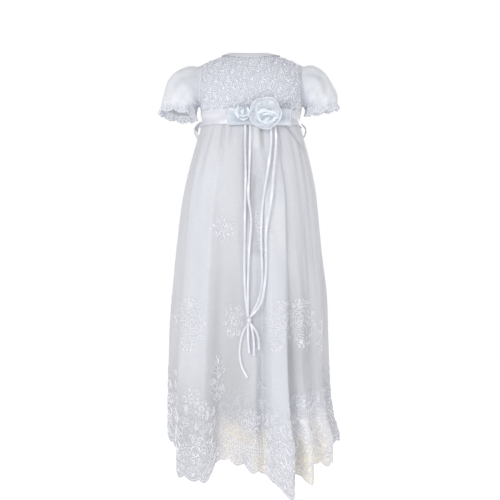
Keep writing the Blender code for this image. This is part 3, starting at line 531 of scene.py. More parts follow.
paintedShadingPatches = (  # painted light and shade patches: where each starts and ends round the skirt, softness, amount (above 0 painted light, below 0 painted shade), and its heights
    (0.085, 0.165, 0.006, 0.26, 0.05, 0.20, 0.66, 0.86), (0.281, 0.334, 0.003, 0.30, 0.10, 0.25, 0.80, 0.99),
    (0.168, 0.236, 0.010, -0.20, 0.25, 0.55, 0.72, 0.86), (0.236, 0.250, 0.003, -0.45, 0.03, 0.10, 0.24, 0.33),
    (0.243, 0.280, 0.007, 0.20, 0.245, 0.29, 0.36, 0.60), (0.238, 0.276, 0.006, 0.12, 0.30, 0.38, 0.70, 0.84),
    (0.2785, 0.2875, 0.0025, -1.00, 0.015, 0.03, 0.07, 0.10), (0.247, 0.274, 0.003, 0.34, 0.01, 0.03, 0.08, 0.14),
    (0.337, 0.400, 0.006, -0.20, 0.40, 0.60, 0.68, 0.76), (0.337, 0.480, 0.010, -0.02, 0.05, 0.20, 0.74, 0.86),
    (0.337, 0.480, 0.006, 0.50, 0.74, 0.86, 2.00, 3.00),
    (0.326, 0.392, 0.005, 0.50, 0.80, 0.88, 2.00, 3.00), (0.278, 0.300, 0.006, 0.10, 0.02, 0.04, 0.12, 0.20),
    (0.020, 0.235, 0.020, -0.22, 0.66, 0.80, 2.00, 3.00), (0.560, 0.620, 0.010, 0.16, 0.05, 0.20, 0.70, 0.90),
    (0.700, 0.800, 0.012, 0.14, 0.05, 0.20, 0.70, 0.90), (0.880, 0.940, 0.010, 0.16, 0.05, 0.20, 0.70, 0.90),
)


def makeSkirt(finishes):
    s = skirtSizes

    # painted warm shade on the hem in the recesses between the front folds, little on the raised fold
    def warmShadeHem(across, up):
        inner = easeStep(0.16, 0.20, across) * (1 - easeStep(0.46, 0.50, across))
        inner = inner * (1 - 0.9 * easeStep(0.275, 0.285, across) * (1 - easeStep(0.330, 0.338, across)))
        patches = 0.55 + 0.45 * np.sin(60 * across + 9 * up) * np.sin(37 * across + 2 - 14 * up)
        patches = patches + (0.95 - patches) * easeStep(0.332, 0.340, across) * (1 - easeStep(0.385, 0.400, across))
        return inner * easeStep(0.85, 0.94, 1 - up) * patches

    def paintShading(across, up):
        # painted light and shade: lighter on the raised folds and in the dark recess beside the long fold, darker in
        # the waist pleats, between folds and at middle heights
        down = 1 - up
        paintedShading = np.full_like(across, 0.62) - 0.13 * easeStep(0.3, 0.7, down) + 0.10 * easeStep(0.85, 1, down)
        for first, last, soft, amount, begins, full, fades, gone in paintedShadingPatches:
            inside = easeStep(first - soft, first + soft, across) * (1 - easeStep(last - soft, last + soft, across))
            paintedShading = paintedShading + amount * inside * easeStep(begins, full, down) * (1 - easeStep(fades, gone, down))
        # painted shadow in the narrow opening under the upper panel, pointed at its top
        spot = skirtPoint(across, down)
        drop = np.clip((-0.274 - spot[..., 2]) / 0.073, 0, 1)
        slitShadow = easeStep(-0.0040, -0.0010, spot[..., 0])
        slitShadow = slitShadow * (1 - easeStep(-0.001, 0.0025, spot[..., 0] - 0.0165 * drop))
        slitShadow = slitShadow * easeStep(0.0, 0.08, drop) * easeStep(-0.352, -0.344, spot[..., 2]) * (spot[..., 1] < 0)
        return np.clip(paintedShading, 0, 1) - 0.50 * slitShadow

    # the net carries its painted light and shade, and a painted warm shade on the hem, as attributes
    net = clothPiece(
        "skirtNet", s["columns"], s["rows"], lambda a, u: skirtPoint(a, 1 - u),
        (hemGirth, 0.6), finishes["net"], closed=True,
        tint={"warmShade": warmShadeHem, "paintedShading": paintShading})
    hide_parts("skirt_front", "skirt_back")
    plain = clothPiece(
        "skirtLining", 240, 50, lambda a, u: liningPoint(a, 1 - u), (0.75, 0.5),
        finishes["lining"], closed=True, thick=0.0006)
    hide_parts("lining_front", "lining_back")
    print("skirt and lining hung, hem girth", round(hemGirth, 3))


# lace motifs, drawn flat in metres
def laid(stroke, at=(0, 0), angle=0.0, size=1.0):
    turned = stroke.copy()
    turned[:, 0] = (stroke[:, 0] * math.cos(angle) - stroke[:, 1] * math.sin(angle)) * size + at[0]
    turned[:, 1] = (stroke[:, 0] * math.sin(angle) + stroke[:, 1] * math.cos(angle)) * size + at[1]
    return turned


def offTo(at, reach, angle):
    return at[0] + reach * math.cos(angle), at[1] + reach * math.sin(angle)


def ring(radius, count=10):
    turn = np.linspace(0, 2 * np.pi, count + 1)
    return strokeOf(radius * np.cos(turn), radius * np.sin(turn))


def petalRound(radius, petals, deep=0.30):
    turn = np.linspace(0, 2 * np.pi, petals * 4 + 1)
    reach = radius * (1 - deep + deep * np.abs(np.cos(petals * turn / 2)))
    return strokeOf(reach * np.cos(turn), reach * np.sin(turn))


def dot(across, up, size=0.0011):
    return strokeOf((across - size / 2, across + size / 2), up, 1.3)


def leaf(length, bend=0.2, fat=1.9):
    t = np.linspace(0, 1, 6)
    return strokeOf(length * t, length * bend * np.sin(np.pi * t), 0.5 + fat * np.sin(np.pi * t))


def openLeaf(length, narrow=0.34, thick=0.9):
    turn = np.linspace(0, 2 * np.pi, 9)
    return strokeOf(length * (0.5 - 0.5 * np.cos(turn)), length * narrow * np.sin(turn) * np.sin(turn / 2), thick)


def curl(size, hand=1, turns=1.25):
    t = np.linspace(0, 1, 14)
    turn, reach = 2 * np.pi * turns * t, size * (1 - 0.78 * t)
    return strokeOf(size - reach * np.cos(turn), hand * reach * np.sin(turn))


def blossom(at, size, petals, turn=0.0):
    found = [laid(petalRound(size, petals), at, turn), laid(ring(size * 0.30, 8), at)]
    for k in range(petals):
        angle = turn + 2 * np.pi * (k + 0.5) / petals
        found.append(laid(leaf(size * 0.42, 0.0, 1.5), offTo(at, 0.42 * size, angle), angle))
    return found


def spray(at, size, angle):
    stem = np.array([(0, 0, 0.9), (0.35 * size, 0.06 * size, 0.8), (0.7 * size, 0.02 * size, 0.7),
                     (size, -0.06 * size, 0.6)])
    found = [laid(stem, at, angle)]
    for k in range(3):
        place = offTo(at, size * (0.18 + 0.26 * k), angle)
        for hand in (-1, 1):
            found.append(laid(openLeaf(size * (0.42 - 0.06 * k)), place, angle + hand * (0.95 - 0.1 * k)))
    found.append(laid(openLeaf(size * 0.30), offTo(at, size * 0.92, angle), angle))
    return found


# the bodice
bodySizes = {
    "shoulderTip": -0.0257, "underarm": -0.0944, "chestHalf": 0.0900, "slope": 0.45, "round": 0.0300,
    "closingStart": -0.0750, "closingPower": 2.2, "power": 3.4, "neckHalf": 0.0420,
    "neckFront": 0.0420, "neckBack": 0.0330, "armFront": 0.0260, "armBack": 0.0250,
    "height": (-0.1175, -0.1050, -0.0900, -0.0600, -0.0200),
    "half": (0.0825, 0.0850, 0.0885, 0.0900, 0.0900),
    "front": (0.0615, 0.0640, 0.0670, 0.0690, 0.0690),
    "back": (0.0565, 0.0580, 0.0595, 0.0610, 0.0610),
}


def ridgeAt(x):
    b = bodySizes
    return b["shoulderTip"] + b["slope"] * (math.hypot(b["chestHalf"], b["round"]) - np.hypot(x, b["round"]))


def torsoHalf(z):
    return smoothTable(bodySizes["height"], bodySizes["half"], z)


def torsoDepth(z, side):
    return smoothTable(bodySizes["height"], bodySizes["front" if side < 0 else "back"], z)


def chestClosing(x, z):
    b = bodySizes
    rise = np.clip((z - b["closingStart"]) / (ridgeAt(x) - b["closingStart"]), 0, 1)
    return np.sqrt(np.clip(1 - rise ** b["closingPower"], 0, 1))


def chestLeft(x, z):
    return np.sqrt(np.clip(1 - np.clip(np.abs(x) / torsoHalf(z), 0, 1) ** bodySizes["power"], 0, 1))


def bodiceDepth(x, z, side):
    return side * torsoDepth(z, side) * chestLeft(x, z) * chestClosing(x, z)


def topHeight(x, y):
    b = bodySizes
    side = -1 if y < 0 else 1
    full = float(torsoDepth(-0.02, side) * chestLeft(x, -0.02))
    rise = (1 - min(1.0, abs(y) / full) ** 2) ** (1 / b["closingPower"])
    return b["closingStart"] + rise * (float(ridgeAt(x)) - b["closingStart"])


def neckLine(x, side):
    b = bodySizes
    deep = b["neckFront"] if side < 0 else b["neckBack"]
    y = side * deep * math.sqrt(max(0.0, 1 - (x / b["neckHalf"]) ** 2))
    return topHeight(x, y if y else side * 1e-6)


def armholeDepth(z, side):
    b = bodySizes
    middle, half = (b["shoulderTip"] + b["underarm"]) / 2, (b["shoulderTip"] - b["underarm"]) / 2
    return (b["armFront"] if side < 0 else b["armBack"]) * math.sqrt(max(0.0, 1 - ((z - middle) / half) ** 2))


def sideX(z, depth, side):
    half = float(torsoHalf(z))
    x = 0.95 * half
    for _ in range(6):
        left = min(1.0, depth / max(float(torsoDepth(z, side) * chestClosing(x, z)), 1e-6))
        x = half * (1 - left**2) ** (1 / bodySizes["power"])
    return x


def bodicePoint(side, across, level, seam=0.0003):
    b = bodySizes
    topX = b["chestHalf"] * math.sin(across * math.pi / 2)
    bottom = skirtSizes["waist"] + 0.0006
    if level <= 1:
        z = bottom + (b["closingStart"] - bottom) * level
    else:
        room, last = float(ridgeAt(topX)) - b["closingStart"], math.pi / 2
        if abs(topX) < b["neckHalf"]:
            rise = (neckLine(topX, side) - b["closingStart"]) / room
            last = math.asin(min(1.0, rise ** (b["closingPower"] / 2)))
        z = b["closingStart"] + room * math.sin(last * (level - 1)) ** (2 / b["closingPower"])
    reach = math.pi / 2
    if b["underarm"] < z < b["shoulderTip"]:
        reach = math.asin(min(1.0, sideX(z, armholeDepth(z, side), side) / float(torsoHalf(z))))
    x = float(torsoHalf(z)) * math.sin(across * reach)
    return Vector((x, float(bodiceDepth(x, z, side)) + side * seam, z))


bodiceLaceSizes = {
    "lowest": -0.1110, "rise": 0.0150, "step": 0.0196, "sway": 0.0014, "blossom": 0.0060, "cord": 0.0013,
    "curls": ((0.0031, 1, 0.0064, 0.0030, 0.7), (0.0029, -1, -0.0066, -0.0035, 3.6)),
    "leaves": ((0.0070, 0.25, 0.0040, 0.0068, 1.9, 0.5), (0.0064, -0.25, 0.0072, -0.0058, -0.6, 0.6)),
    "dots": ((0.0098, 0.0072), (0.0006, -0.0088), (-0.0085, 0.0055)),
}


def bodiceLace(side):
    # strokes over the flat front or back, kept off the armholes and the neck
    b, c = bodySizes, bodiceLaceSizes
    strokes, row = [], 0
    z = c["lowest"]
    while z < 0.0:
        x, k = -0.088 + (c["step"] / 2 if row % 2 else 0.0), 0
        while x < 0.090:
            sway = (math.sin(2.3 * k + 1.1 * row), math.cos(1.7 * k - 2.9 * row))
            at = (x + c["sway"] * sway[0], z + c["sway"] * sway[1])
            strokes += blossom(at, c["blossom"] + 0.0009 * sway[1], 5 + (row + k) % 3, 0.8 * row + k)
            for (size, hand, across, up, angle), lean in zip(c["curls"], sway):
                strokes.append(laid(curl(size, hand), (at[0] + across, at[1] + up), angle + lean))
            for (size, bend, across, up, angle, amount), lean in zip(c["leaves"], sway[::-1]):
                strokes.append(laid(leaf(size, bend), (at[0] + across, at[1] + up), angle + amount * lean))
            strokes.append(laid(ring(0.0019, 6), (at[0] + 0.0103, at[1] + 0.0002)))
            strokes += [dot(at[0] + across, at[1] + up) for across, up in c["dots"]]
            x += c["step"]
            k += 1
        z += c["rise"]
        row += 1
    kept = []
    for stroke in strokes:
        cx, cz = stroke[:, 0].mean(), stroke[:, 1].mean()
        edge = float(torsoHalf(cz)) * 0.985
        if b["underarm"] - 0.002 < cz < b["shoulderTip"]:
            edge = sideX(cz, armholeDepth(cz, side), side) - 0.002
        top = float(ridgeAt(cx)) - 0.004
        if abs(cx) < b["neckHalf"] + 0.006:
            top = min(top, neckLine(min(abs(cx), b["neckHalf"]), side) - 0.0075)
        if abs(cx) < edge - 0.002 and -0.1085 < cz < top:
            kept.append(stroke)
    return kept


def onBodice(side):
    def place(x, z, lift):
        near = 0.0008
        y = bodiceDepth(x, z, side)
        slopeX = (bodiceDepth(x + near, z, side) - bodiceDepth(x - near, z, side)) / (2 * near)
        slopeZ = (bodiceDepth(x, z + near, side) - bodiceDepth(x, z - near, side)) / (2 * near)
        normal = np.stack([-side * slopeX, np.full_like(x, side), -side * slopeZ], axis=1)
        normal /= np.linalg.norm(normal, axis=1, keepdims=True)
        return np.stack([x, y + side * 0.0003, z], axis=1) + normal * lift
    return place


def makeBodice(finishes):
    gap = 0.0006 / bodySizes["chestHalf"]
    for name, node, side, first, last, columns, width, flat, area in (
            ("bodiceFront", "bodice_front", -1, -1, 1, 64, 0.20, (0.26, 0.125), 0.0290),
            ("bodiceBackLeft", "bodice_back_left", 1, -1, -gap, 34, 0.10, (0.125, 0.125), 0.0140),
            ("bodiceBackRight", "bodice_back_right", 1, gap, 1, 34, 0.10, (0.125, 0.125), 0.0140)):
        panel = clothPiece(
            name, columns, 40, eachPoint(lambda a, u: bodicePoint(side, first + (last - first) * a, 2 * u)),
            (width, 0.12), finishes["laceGround"], thick=0.0009)
        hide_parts(node)
    for side, name in ((-1, "bodiceCordFront"), (1, "bodiceCordBack")):
        threadPiece(name, bodiceLace(side), onBodice(side), bodiceLaceSizes["cord"], finishes["cord"],
                    lift=0.0004)
    print("bodice laced")


# sleeves
sleeveSizes = {
    "outer": {
        -1: ((0.0901, -0.0257), (0.1010, -0.0258), (0.1150, -0.0296), (0.1310, -0.0370),
             (0.1425, -0.0505), (0.1490, -0.0669), (0.1518, -0.0800), (0.1530, -0.0892)),
        1: ((0.0901, -0.0257), (0.1004, -0.0237), (0.1141, -0.0283), (0.1278, -0.0395),
            (0.1381, -0.0532), (0.1452, -0.0686), (0.1476, -0.0800), (0.1462, -0.0885)),
    },
    "innerStart": (0.0885, -0.0944), "innerEnd": (0.0940, -0.0985),
    "depth": (0.0260, 0.0310, 0.0365, 0.0400, 0.0405, 0.0385, 0.0345, 0.0300),
    "waves": 9, "wave": 0.0015, "backDrop": {-1: 0.0110, 1: -0.0020}, "clear": 0.0006,
    "edgingDrop": 0.0125, "edgingFlare": 0.0030, "edgingPoint": 0.0040, "fineWaves": 27,
    "middle": (0.119, 0, -0.070), "edgeCords": ((0.02, 1.2), (0.20, 0.8), (1.0, 1.3)), "cord": 0.0014,
    "piping": 0.0019,
}


def sleevePoint(hand, turnShare, along):
    s = sleeveSizes
    b = bodySizes
    turn = 2 * math.pi * turnShare
    stations = np.linspace(0, 1, 8)
    outer = s["outer"][hand]
    top = Vector((float(smoothTable(stations, [p[0] for p in outer], along)), 0,
                  float(smoothTable(stations, [p[1] for p in outer], along))))
    low = Vector((s["innerStart"][0], 0, s["innerStart"][1])).lerp(
        Vector((s["innerEnd"][0], 0, s["innerEnd"][1])), along)
    depth = float(smoothTable(stations, s["depth"], along))
    middle, half = (top + low) / 2, (top - low) / 2
    upper = 0.5 + 0.5 * math.cos(turn)
    near = float(easeStep(0.03, 0.14, along) * (1 - easeStep(0.2, 0.5, along)))
    far = float(easeStep(0.62, 0.95, along))
    crimp = s["wave"] * math.cos(s["waves"] * turn + 0.6) * (upper * near + far)
    crimp += 0.0004 * math.cos(s["fineWaves"] * turn + 3 * along) * float(
        1 - easeStep(0.05, 0.25, along) + easeStep(0.80, 1, along))
    crimp += 0.0011 * math.sin(3 * turn + 5 * along) * math.sin(math.pi * along)
    slant = math.sin(7 * turn - 6 * along * hand + 1.3 * math.sin(4 * along))
    crimp += 0.0013 * slant * math.sin(math.pi * along) ** 1.5
    spread = 1 + crimp / half.length
    point = middle + half * math.cos(turn) * spread
    point.y = -depth * math.sin(turn) * spread
    point.z -= s["backDrop"][hand] * float(easeStep(0.45, 1, along)) * (0.5 - 0.5 * math.sin(turn))
    midZ, halfZ = (b["shoulderTip"] + b["underarm"]) / 2, (b["shoulderTip"] - b["underarm"]) / 2
    side = -1 if math.sin(turn) >= 0 else 1
    z = midZ + halfZ * math.cos(turn)
    deep = armholeDepth(z, side)
    hole = Vector((sideX(z, deep, side), side * deep, z))
    point = hole.lerp(point, float(easeStep(0, 0.22, along)))
    return Vector((hand * (point.x + s["clear"]), point.y, point.z))


def edgingPoint(hand, turnShare, level, cuffMiddle):
    s = sleeveSizes
    point = sleevePoint(hand, turnShare, 1.0)
    down = Vector((hand * 0.10, 0, -1)).normalized()
    tooth = abs(math.sin(math.pi * s["waves"] * turnShare))
    fine = abs(math.sin(math.pi * s["waves"] * 3 * turnShare)) - 1
    drop = 0.0006 + s["edgingDrop"] * level + s["edgingPoint"] * (tooth - 1) * level**2
    drop += 0.0012 * fine * level**4
    away = (point - cuffMiddle).normalized()
    return point + down * drop + away * s["edgingFlare"] * level


def makeSleeves(finishes):
    s = sleeveSizes
    hands = ((-1, "Left"), (1, "Right"))
    count = s["fineWaves"]
    for hand, name in hands:
        node = name.lower()
        centre = Vector(s["middle"]) * Vector((hand, 1, 1))
        puff = clothPiece(
            "sleeve" + name, 144, 44, eachPoint(lambda a, u: sleevePoint(hand, a, 1 - u)), (0.26, 0.11),
            finishes["organza"], facing=lambda p: p - centre, closed=True)
        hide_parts("sleeve_" + node)
        cuffMiddle = sum((sleevePoint(hand, k / 36, 1.0) for k in range(36)), Vector()) / 36
        frill = clothPiece(
            "cuffLace" + name, 162, 6, eachPoint(lambda a, u: edgingPoint(hand, a, 1 - u, cuffMiddle)),
            (0.22, 0.013), finishes["laceNet"], facing=lambda p: p - cuffMiddle, closed=True)
        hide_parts("sleeve_edging_" + node)

        def onCuff(along, up, lift):
            places = [edgingPoint(hand, a, u, cuffMiddle) for a, u in zip(along, up)]
            return np.array([place + (place - cuffMiddle).normalized() * lift for place in places])

        share = np.linspace(0, 1, 163)
        strokes = [strokeOf(share, level, thick) for level, thick in s["edgeCords"]]
        loop, stem = ring(1.0, 8), leaf(1.0, 0.0, 1.6)
        for middle in (np.arange(count) + 0.5) / count:
            strokes.append(strokeOf(middle + loop[:, 0] * 0.011, 0.48 + loop[:, 1] * 0.20))
            strokes.append(strokeOf(middle + 0.018, 0.62 + 0.36 * stem[:, 0], stem[:, 2]))
        threadPiece("cuffCord" + name, strokes, onCuff, s["cord"], finishes["cord"], lift=0.0001)
    for hand, name in hands:
        threadPiece("armholePiping" + name, [strokeOf(np.linspace(0, 1, 73), 0.004)],
                    lambda a, u, lift: np.array([sleevePoint(hand, p, q) - Vector((hand * 0.0004, 0, 0))
                                                 for p, q in zip(a, u)]),
                    s["piping"], finishes["piping"])
    print("sleeves set in")


# sash, neck and front band
sashSizes = {"top": -0.1050, "bottom": -0.1300, "lift": 0.0016, "bandLeft": -0.0370, "bandRight": 0.0650,
             "bandTop": -0.1024, "bandBottom": -0.1329, "bandFull": 0.0048, "clear": 0.0006,
             "wall": 0.0010, "bindingWidth": 0.0080, "bindingLip": 0.0010, "bandFold": 0.0022,
             "flatShare": 1.8, "bandHollow": 0.0010, "bandRipple": 0.0007, "endCord": 0.0014}


def bodySection(z):
    if z > skirtSizes["waist"]:
        half = float(torsoHalf(z))
        return half, half, float(torsoDepth(z, -1)), float(torsoDepth(z, 1)), bodySizes["power"]
    return tuple(float(size) for size in skirtSection(z))


def sashPoint(share, z, lift):
    x, y, _, outward = ovalWithNormal(bodySection(z), np.array([share]))
    return Vector((float(x[0] + outward[0, 0] * lift), float(y[0] + outward[0, 1] * lift), z))


def sashFrontY(x, z):
    left, right, front, _, power = bodySection(z)
    half = left if x < 0 else right
    return -front * math.sqrt(1 - (abs(x) / half) ** power) - sashSizes["clear"] - sashSizes["wall"]


def bandFrontY(x):
    under = min(sashFrontY(x, z) for z in (sashSizes["bottom"], skirtSizes["waist"], sashSizes["top"]))
    return under - sashSizes["clear"] - sashSizes["bandFull"]


def bandX(x):
    return min(max(x, sashSizes["bandLeft"]), sashSizes["bandRight"])


def bandSpot(a, u):
    # once round the flat tube: along the front, round one fold, back behind, round the other
    s = sashSizes
    left, right, flat = s["bandLeft"], s["bandRight"], s["flatShare"]
    t = (a % 1.0) * 4
    turn = math.pi * ((t - flat) % 2) / (2 - flat)
    if t <= flat:
        x, back = left + (right - left) * t / flat, 0.0
    elif t <= 2.0:
        x, back = right + s["bandFold"] * math.sin(turn), 0.5 - 0.5 * math.cos(turn)
    elif t <= 2 + flat:
        x, back = right + (left - right) * (t - 2) / flat, 1.0
    else:
        x, back = left - s["bandFold"] * math.sin(turn), 0.5 + 0.5 * math.cos(turn)
    hollow = s["bandHollow"] * math.sin(math.pi * u) * (1 - back)
    hollow += s["bandRipple"] * math.sin(260 * x + 5 * u) * math.sin(math.pi * u) * (1 - back)
    closing = 0.92 * s["bandFull"] * abs(2 * u - 1) ** 7 * (1 - back)
    y = bandFrontY(bandX(x)) + s["bandFull"] * back + hollow + closing
    return Vector((x, y, s["bandBottom"] + (s["bandTop"] - s["bandBottom"]) * u))


def neckSpot(a, u):
    s, b = sashSizes, bodySizes
    turn = 2 * math.pi * a
    reach = -s["bindingLip"] + (s["bindingWidth"] + s["bindingLip"]) * u
    deep = b["neckFront"] if math.sin(turn) < 0 else b["neckBack"]
    x, y = (b["neckHalf"] + reach) * math.cos(turn), (deep + reach) * math.sin(turn)
    step = 0.001
    slopeX = (topHeight(x + step, y) - topHeight(x - step, y)) / (2 * step)
    slopeY = (topHeight(x, y + step) - topHeight(x, y - step)) / (2 * step)
    normal = Vector((-slopeX, -slopeY, 1)).normalized()
    return Vector((x, y, topHeight(x, y))) + normal * (0.0016 + 0.0004 * math.sin(math.pi * u))


def sashSpot(a, u):
    s = sashSizes
    crease = 0.0005 * math.sin(9 * u + 2.2 * math.sin(2 * math.pi * 3 * a)) * math.sin(math.pi * u)
    crease += 0.0004 * math.sin(2 * math.pi * 23 * a + 4 * u) * math.sin(math.pi * u)
    return sashPoint(a, s["bottom"] + (s["top"] - s["bottom"]) * u, s["lift"] + crease)


def makeSash(finishes):
    s = sashSizes
    sash = clothPiece("satinSash", 180, 12, eachPoint(sashSpot), (0.52, 0.025), finishes["satin"],
                      closed=True, thick=0.0008)
    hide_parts("sash")
    band = clothPiece("frontBand", 160, 22, eachPoint(bandSpot), (0.215, 0.03), finishes["satinDeep"],
                      facing=lambda p: Vector((0, p.y - bandFrontY(0.0) - s["bandFull"] / 2, 0)),
                      closed=True, thick=0.0005)
    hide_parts("front_band")
    level = np.linspace(s["bandBottom"], s["bandTop"], 9)
    threadPiece("bandEnds", [strokeOf(x, level, thick) for x, thick in ((s["bandRight"] + 0.0004, 1.2),
                                                                        (s["bandLeft"] - 0.0004, 0.9))],
                lambda x, z, lift: np.stack([x, np.array([bandFrontY(bandX(v)) for v in x]) + 0.0012, z], axis=1),
                s["endCord"], finishes["ribbon"])
    binding = clothPiece("neckBinding", 144, 8, eachPoint(neckSpot), (0.25, 0.009), finishes["satin"],
                         facing=lambda p: Vector((0, 0, 1)), closed=True, thick=0.0009)
    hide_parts("neck_binding")
    print("sash, band and neck binding on")


# flowers
flowerSizes = {
    "heart": (0.0235, -0.1140), "bud": (-0.0138, -0.1155), "round": 0.0262, "flare": 0.0045,
    "innerShare": 0.78, "innerShift": (0.002, -0.0022, 0.001), "innerFlare": 0.0040, "rim": 0.0015,
    "sprigArc": ((0.0475, -0.1000), (0.0510, -0.0972), (0.0555, -0.0956), (0.0600, -0.0962)),
    "sprigLoop": (0.0680, -0.0975, 0.0054, 0.0085), "stem": 0.0008, "stemLift": 0.0050,
    "arcBeads": (0.0016, 0.0023, 0.0024, 0.0018), "arcLift": 0.0086, "loopBeads": (0.0015,) * 9, "loopLift": 0.0056,
}


def organzaDisc(centre, radius, lift):
    def place(across, up):
        turn = 2 * np.pi * across
        reach = radius * up * (1 + 0.035 * np.cos(5 * turn + 0.7) * up + 0.012 * np.sin(13 * turn))
        rise = 0.0010 + lift * up**1.6 + 0.0007 * np.cos(11 * turn + 3 * up) * np.sin(np.pi * up) ** 2
        rise += 0.0016 * np.cos(5 * turn + 0.7) * up**2
        return np.stack([centre[0] + reach * np.cos(turn), centre[1] - rise,
                         centre[2] + reach * np.sin(turn)], axis=-1)
    return place


def satinFold(centre, length, width, tilt, rise):
    # a petal of ribbon folded along its length, standing up in the middle and bent round its flower
    def place(across, up):
        taper = np.sin(np.pi * (0.04 + 0.92 * across)) ** 0.62
        along = (across - 0.5) * length
        cross = (up - 0.5) * width * taper
        bend = 0.13 * length * np.sin(np.pi * (across - 0.5)) ** 2
        stand = rise * np.cos(np.pi * (up - 0.5)) ** 0.75 * taper + 0.10 * rise * np.sin(5 * across + 9 * up)
        x = along * np.cos(tilt) - (cross - np.sign(rise) * bend) * np.sin(tilt)
        z = along * np.sin(tilt) + (cross - bend) * np.cos(tilt)
        return np.stack([centre[0] + x, centre[1] - stand, centre[2] + z], axis=-1)
    return place


satinFolds = (  # across, up, length, width, tilt, how far it stands, layer
    (0.0045, -0.0035, 0.0420, 0.0240, 0.05, 0.0016, 0.0000), (-0.0036, 0.0046, 0.0230, 0.0085, 0.18, 0.0040, 0.0006),
    (0.0140, 0.0012, 0.0220, 0.0072, -0.38, 0.0036, 0.0006), (-0.0130, -0.0030, 0.0150, 0.0056, 1.90, 0.0030, 0.0004),
    (-0.0100, -0.0095, 0.0140, 0.0060, -0.75, 0.0035, 0.0008), (0.0016, -0.0105, 0.0150, 0.0060, 0.85, 0.0038, 0.0010),
    (0.0162, -0.0080, 0.0160, 0.0060, 0.55, 0.0034, 0.0008), (0.0050, -0.0155, 0.0250, 0.0066, 3.20, 0.0028, 0.0004),
    (0.0050, -0.0010, 0.0200, 0.0054, -0.12, 0.0030, 0.0006),
)
smallFolds = (
    (0.0000, 0.0010, 0.0270, 0.0250, 0.20, 0.0010, 0.0000), (-0.0100, 0.0036, 0.0210, 0.0074, 1.57, 0.0034, 0.0004),
    (0.0108, 0.0036, 0.0180, 0.0068, -1.50, 0.0032, 0.0006), (0.0020, -0.0032, 0.0160, 0.0052, 3.20, 0.0036, 0.0008),
    (0.0020, -0.0088, 0.0150, 0.0046, 3.20, 0.0032, 0.0006), (-0.0010, 0.0040, 0.0110, 0.0068, 1.50, 0.0020, 0.0002),
)


def toFront(point):
    return Vector((0, -1, 0))


def layFolds(finishes, name, table, middle, depth, columns, rows, node):
    for k, (x, z, length, width, tilt, rise, layer) in enumerate(table):
        # the first, widest fold lies under the rest in a darker copy of the satin, a painted shade; the folds over it
        # use a lighter copy, a painted light
        fold = clothPiece(f"{name}{k + 1}", columns, rows,
                          satinFold((middle[0] + x, depth - layer, middle[1] + z), length, width, tilt, rise),
                          (length, width), finishes["satinPaintedLight" if k else "satinPaintedShade"],
                          facing=toFront, thick=0.0004)
        if k == 0:
            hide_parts(node)


def makeFlowers(finishes):
    f = flowerSizes
    seat = bandFrontY(0.0) - sashSizes["clear"] - sashSizes["wall"]
    heart = np.array((f["heart"][0], seat + 0.0008, f["heart"][1]))
    outer = organzaDisc(heart, f["round"], f["flare"])
    disc = clothPiece("organzaRound", 112, 16, outer, (0.17, 0.026), finishes["petal"],
                      facing=toFront, closed=True)
    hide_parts("flower_petals")
    inner = clothPiece("organzaInner", 96, 12,
                       organzaDisc(heart + f["innerShift"], f["round"] * f["innerShare"], f["innerFlare"]),
                       (0.13, 0.02), finishes["petal"], facing=toFront, closed=True)
    threadPiece("organzaRim", [strokeOf(np.linspace(0, 1, 97), 0.995)], lambda a, u, lift: outer(a, u), f["rim"],
                finishes["cord"])
    layFolds(finishes, "satinFold", satinFolds, f["heart"], seat - 0.0030, 26, 12, "flower_bud")
    layFolds(finishes, "smallFold", smallFolds, f["bud"], seat + 0.0006, 22, 10, "small_flower")
    # a sprig of small beads beside the flower
    turn = np.linspace(2.7, 8.0, 9)
    x, z, wide, tall = f["sprigLoop"]
    loop = strokeOf(x + wide * np.cos(turn), z + tall * np.sin(turn))
    arc = strokeOf(*np.array(f["sprigArc"]).T)
    threadPiece("sprigStems", [loop, arc], onBodice(-1), f["stem"], finishes["ribbon"],
                lift=f["stemLift"])
    for name, finish, spots, sizes, lift in (("sprigBeads", "bead", arc, f["arcBeads"], f["arcLift"]),
                                             ("loopBeads", "lightBead", loop, f["loopBeads"], f["loopLift"])):
        bm = bmesh.new()
        for spot, size in zip(onBodice(-1)(spots[:, 0], spots[:, 1], lift), sizes):
            made = bmesh.ops.create_icosphere(bm, subdivisions=2, radius=size)
            bmesh.ops.translate(bm, verts=made["verts"], vec=Vector(spot))
        finishPiece(name, bm, finishes[finish])
    print("flowers rolled")


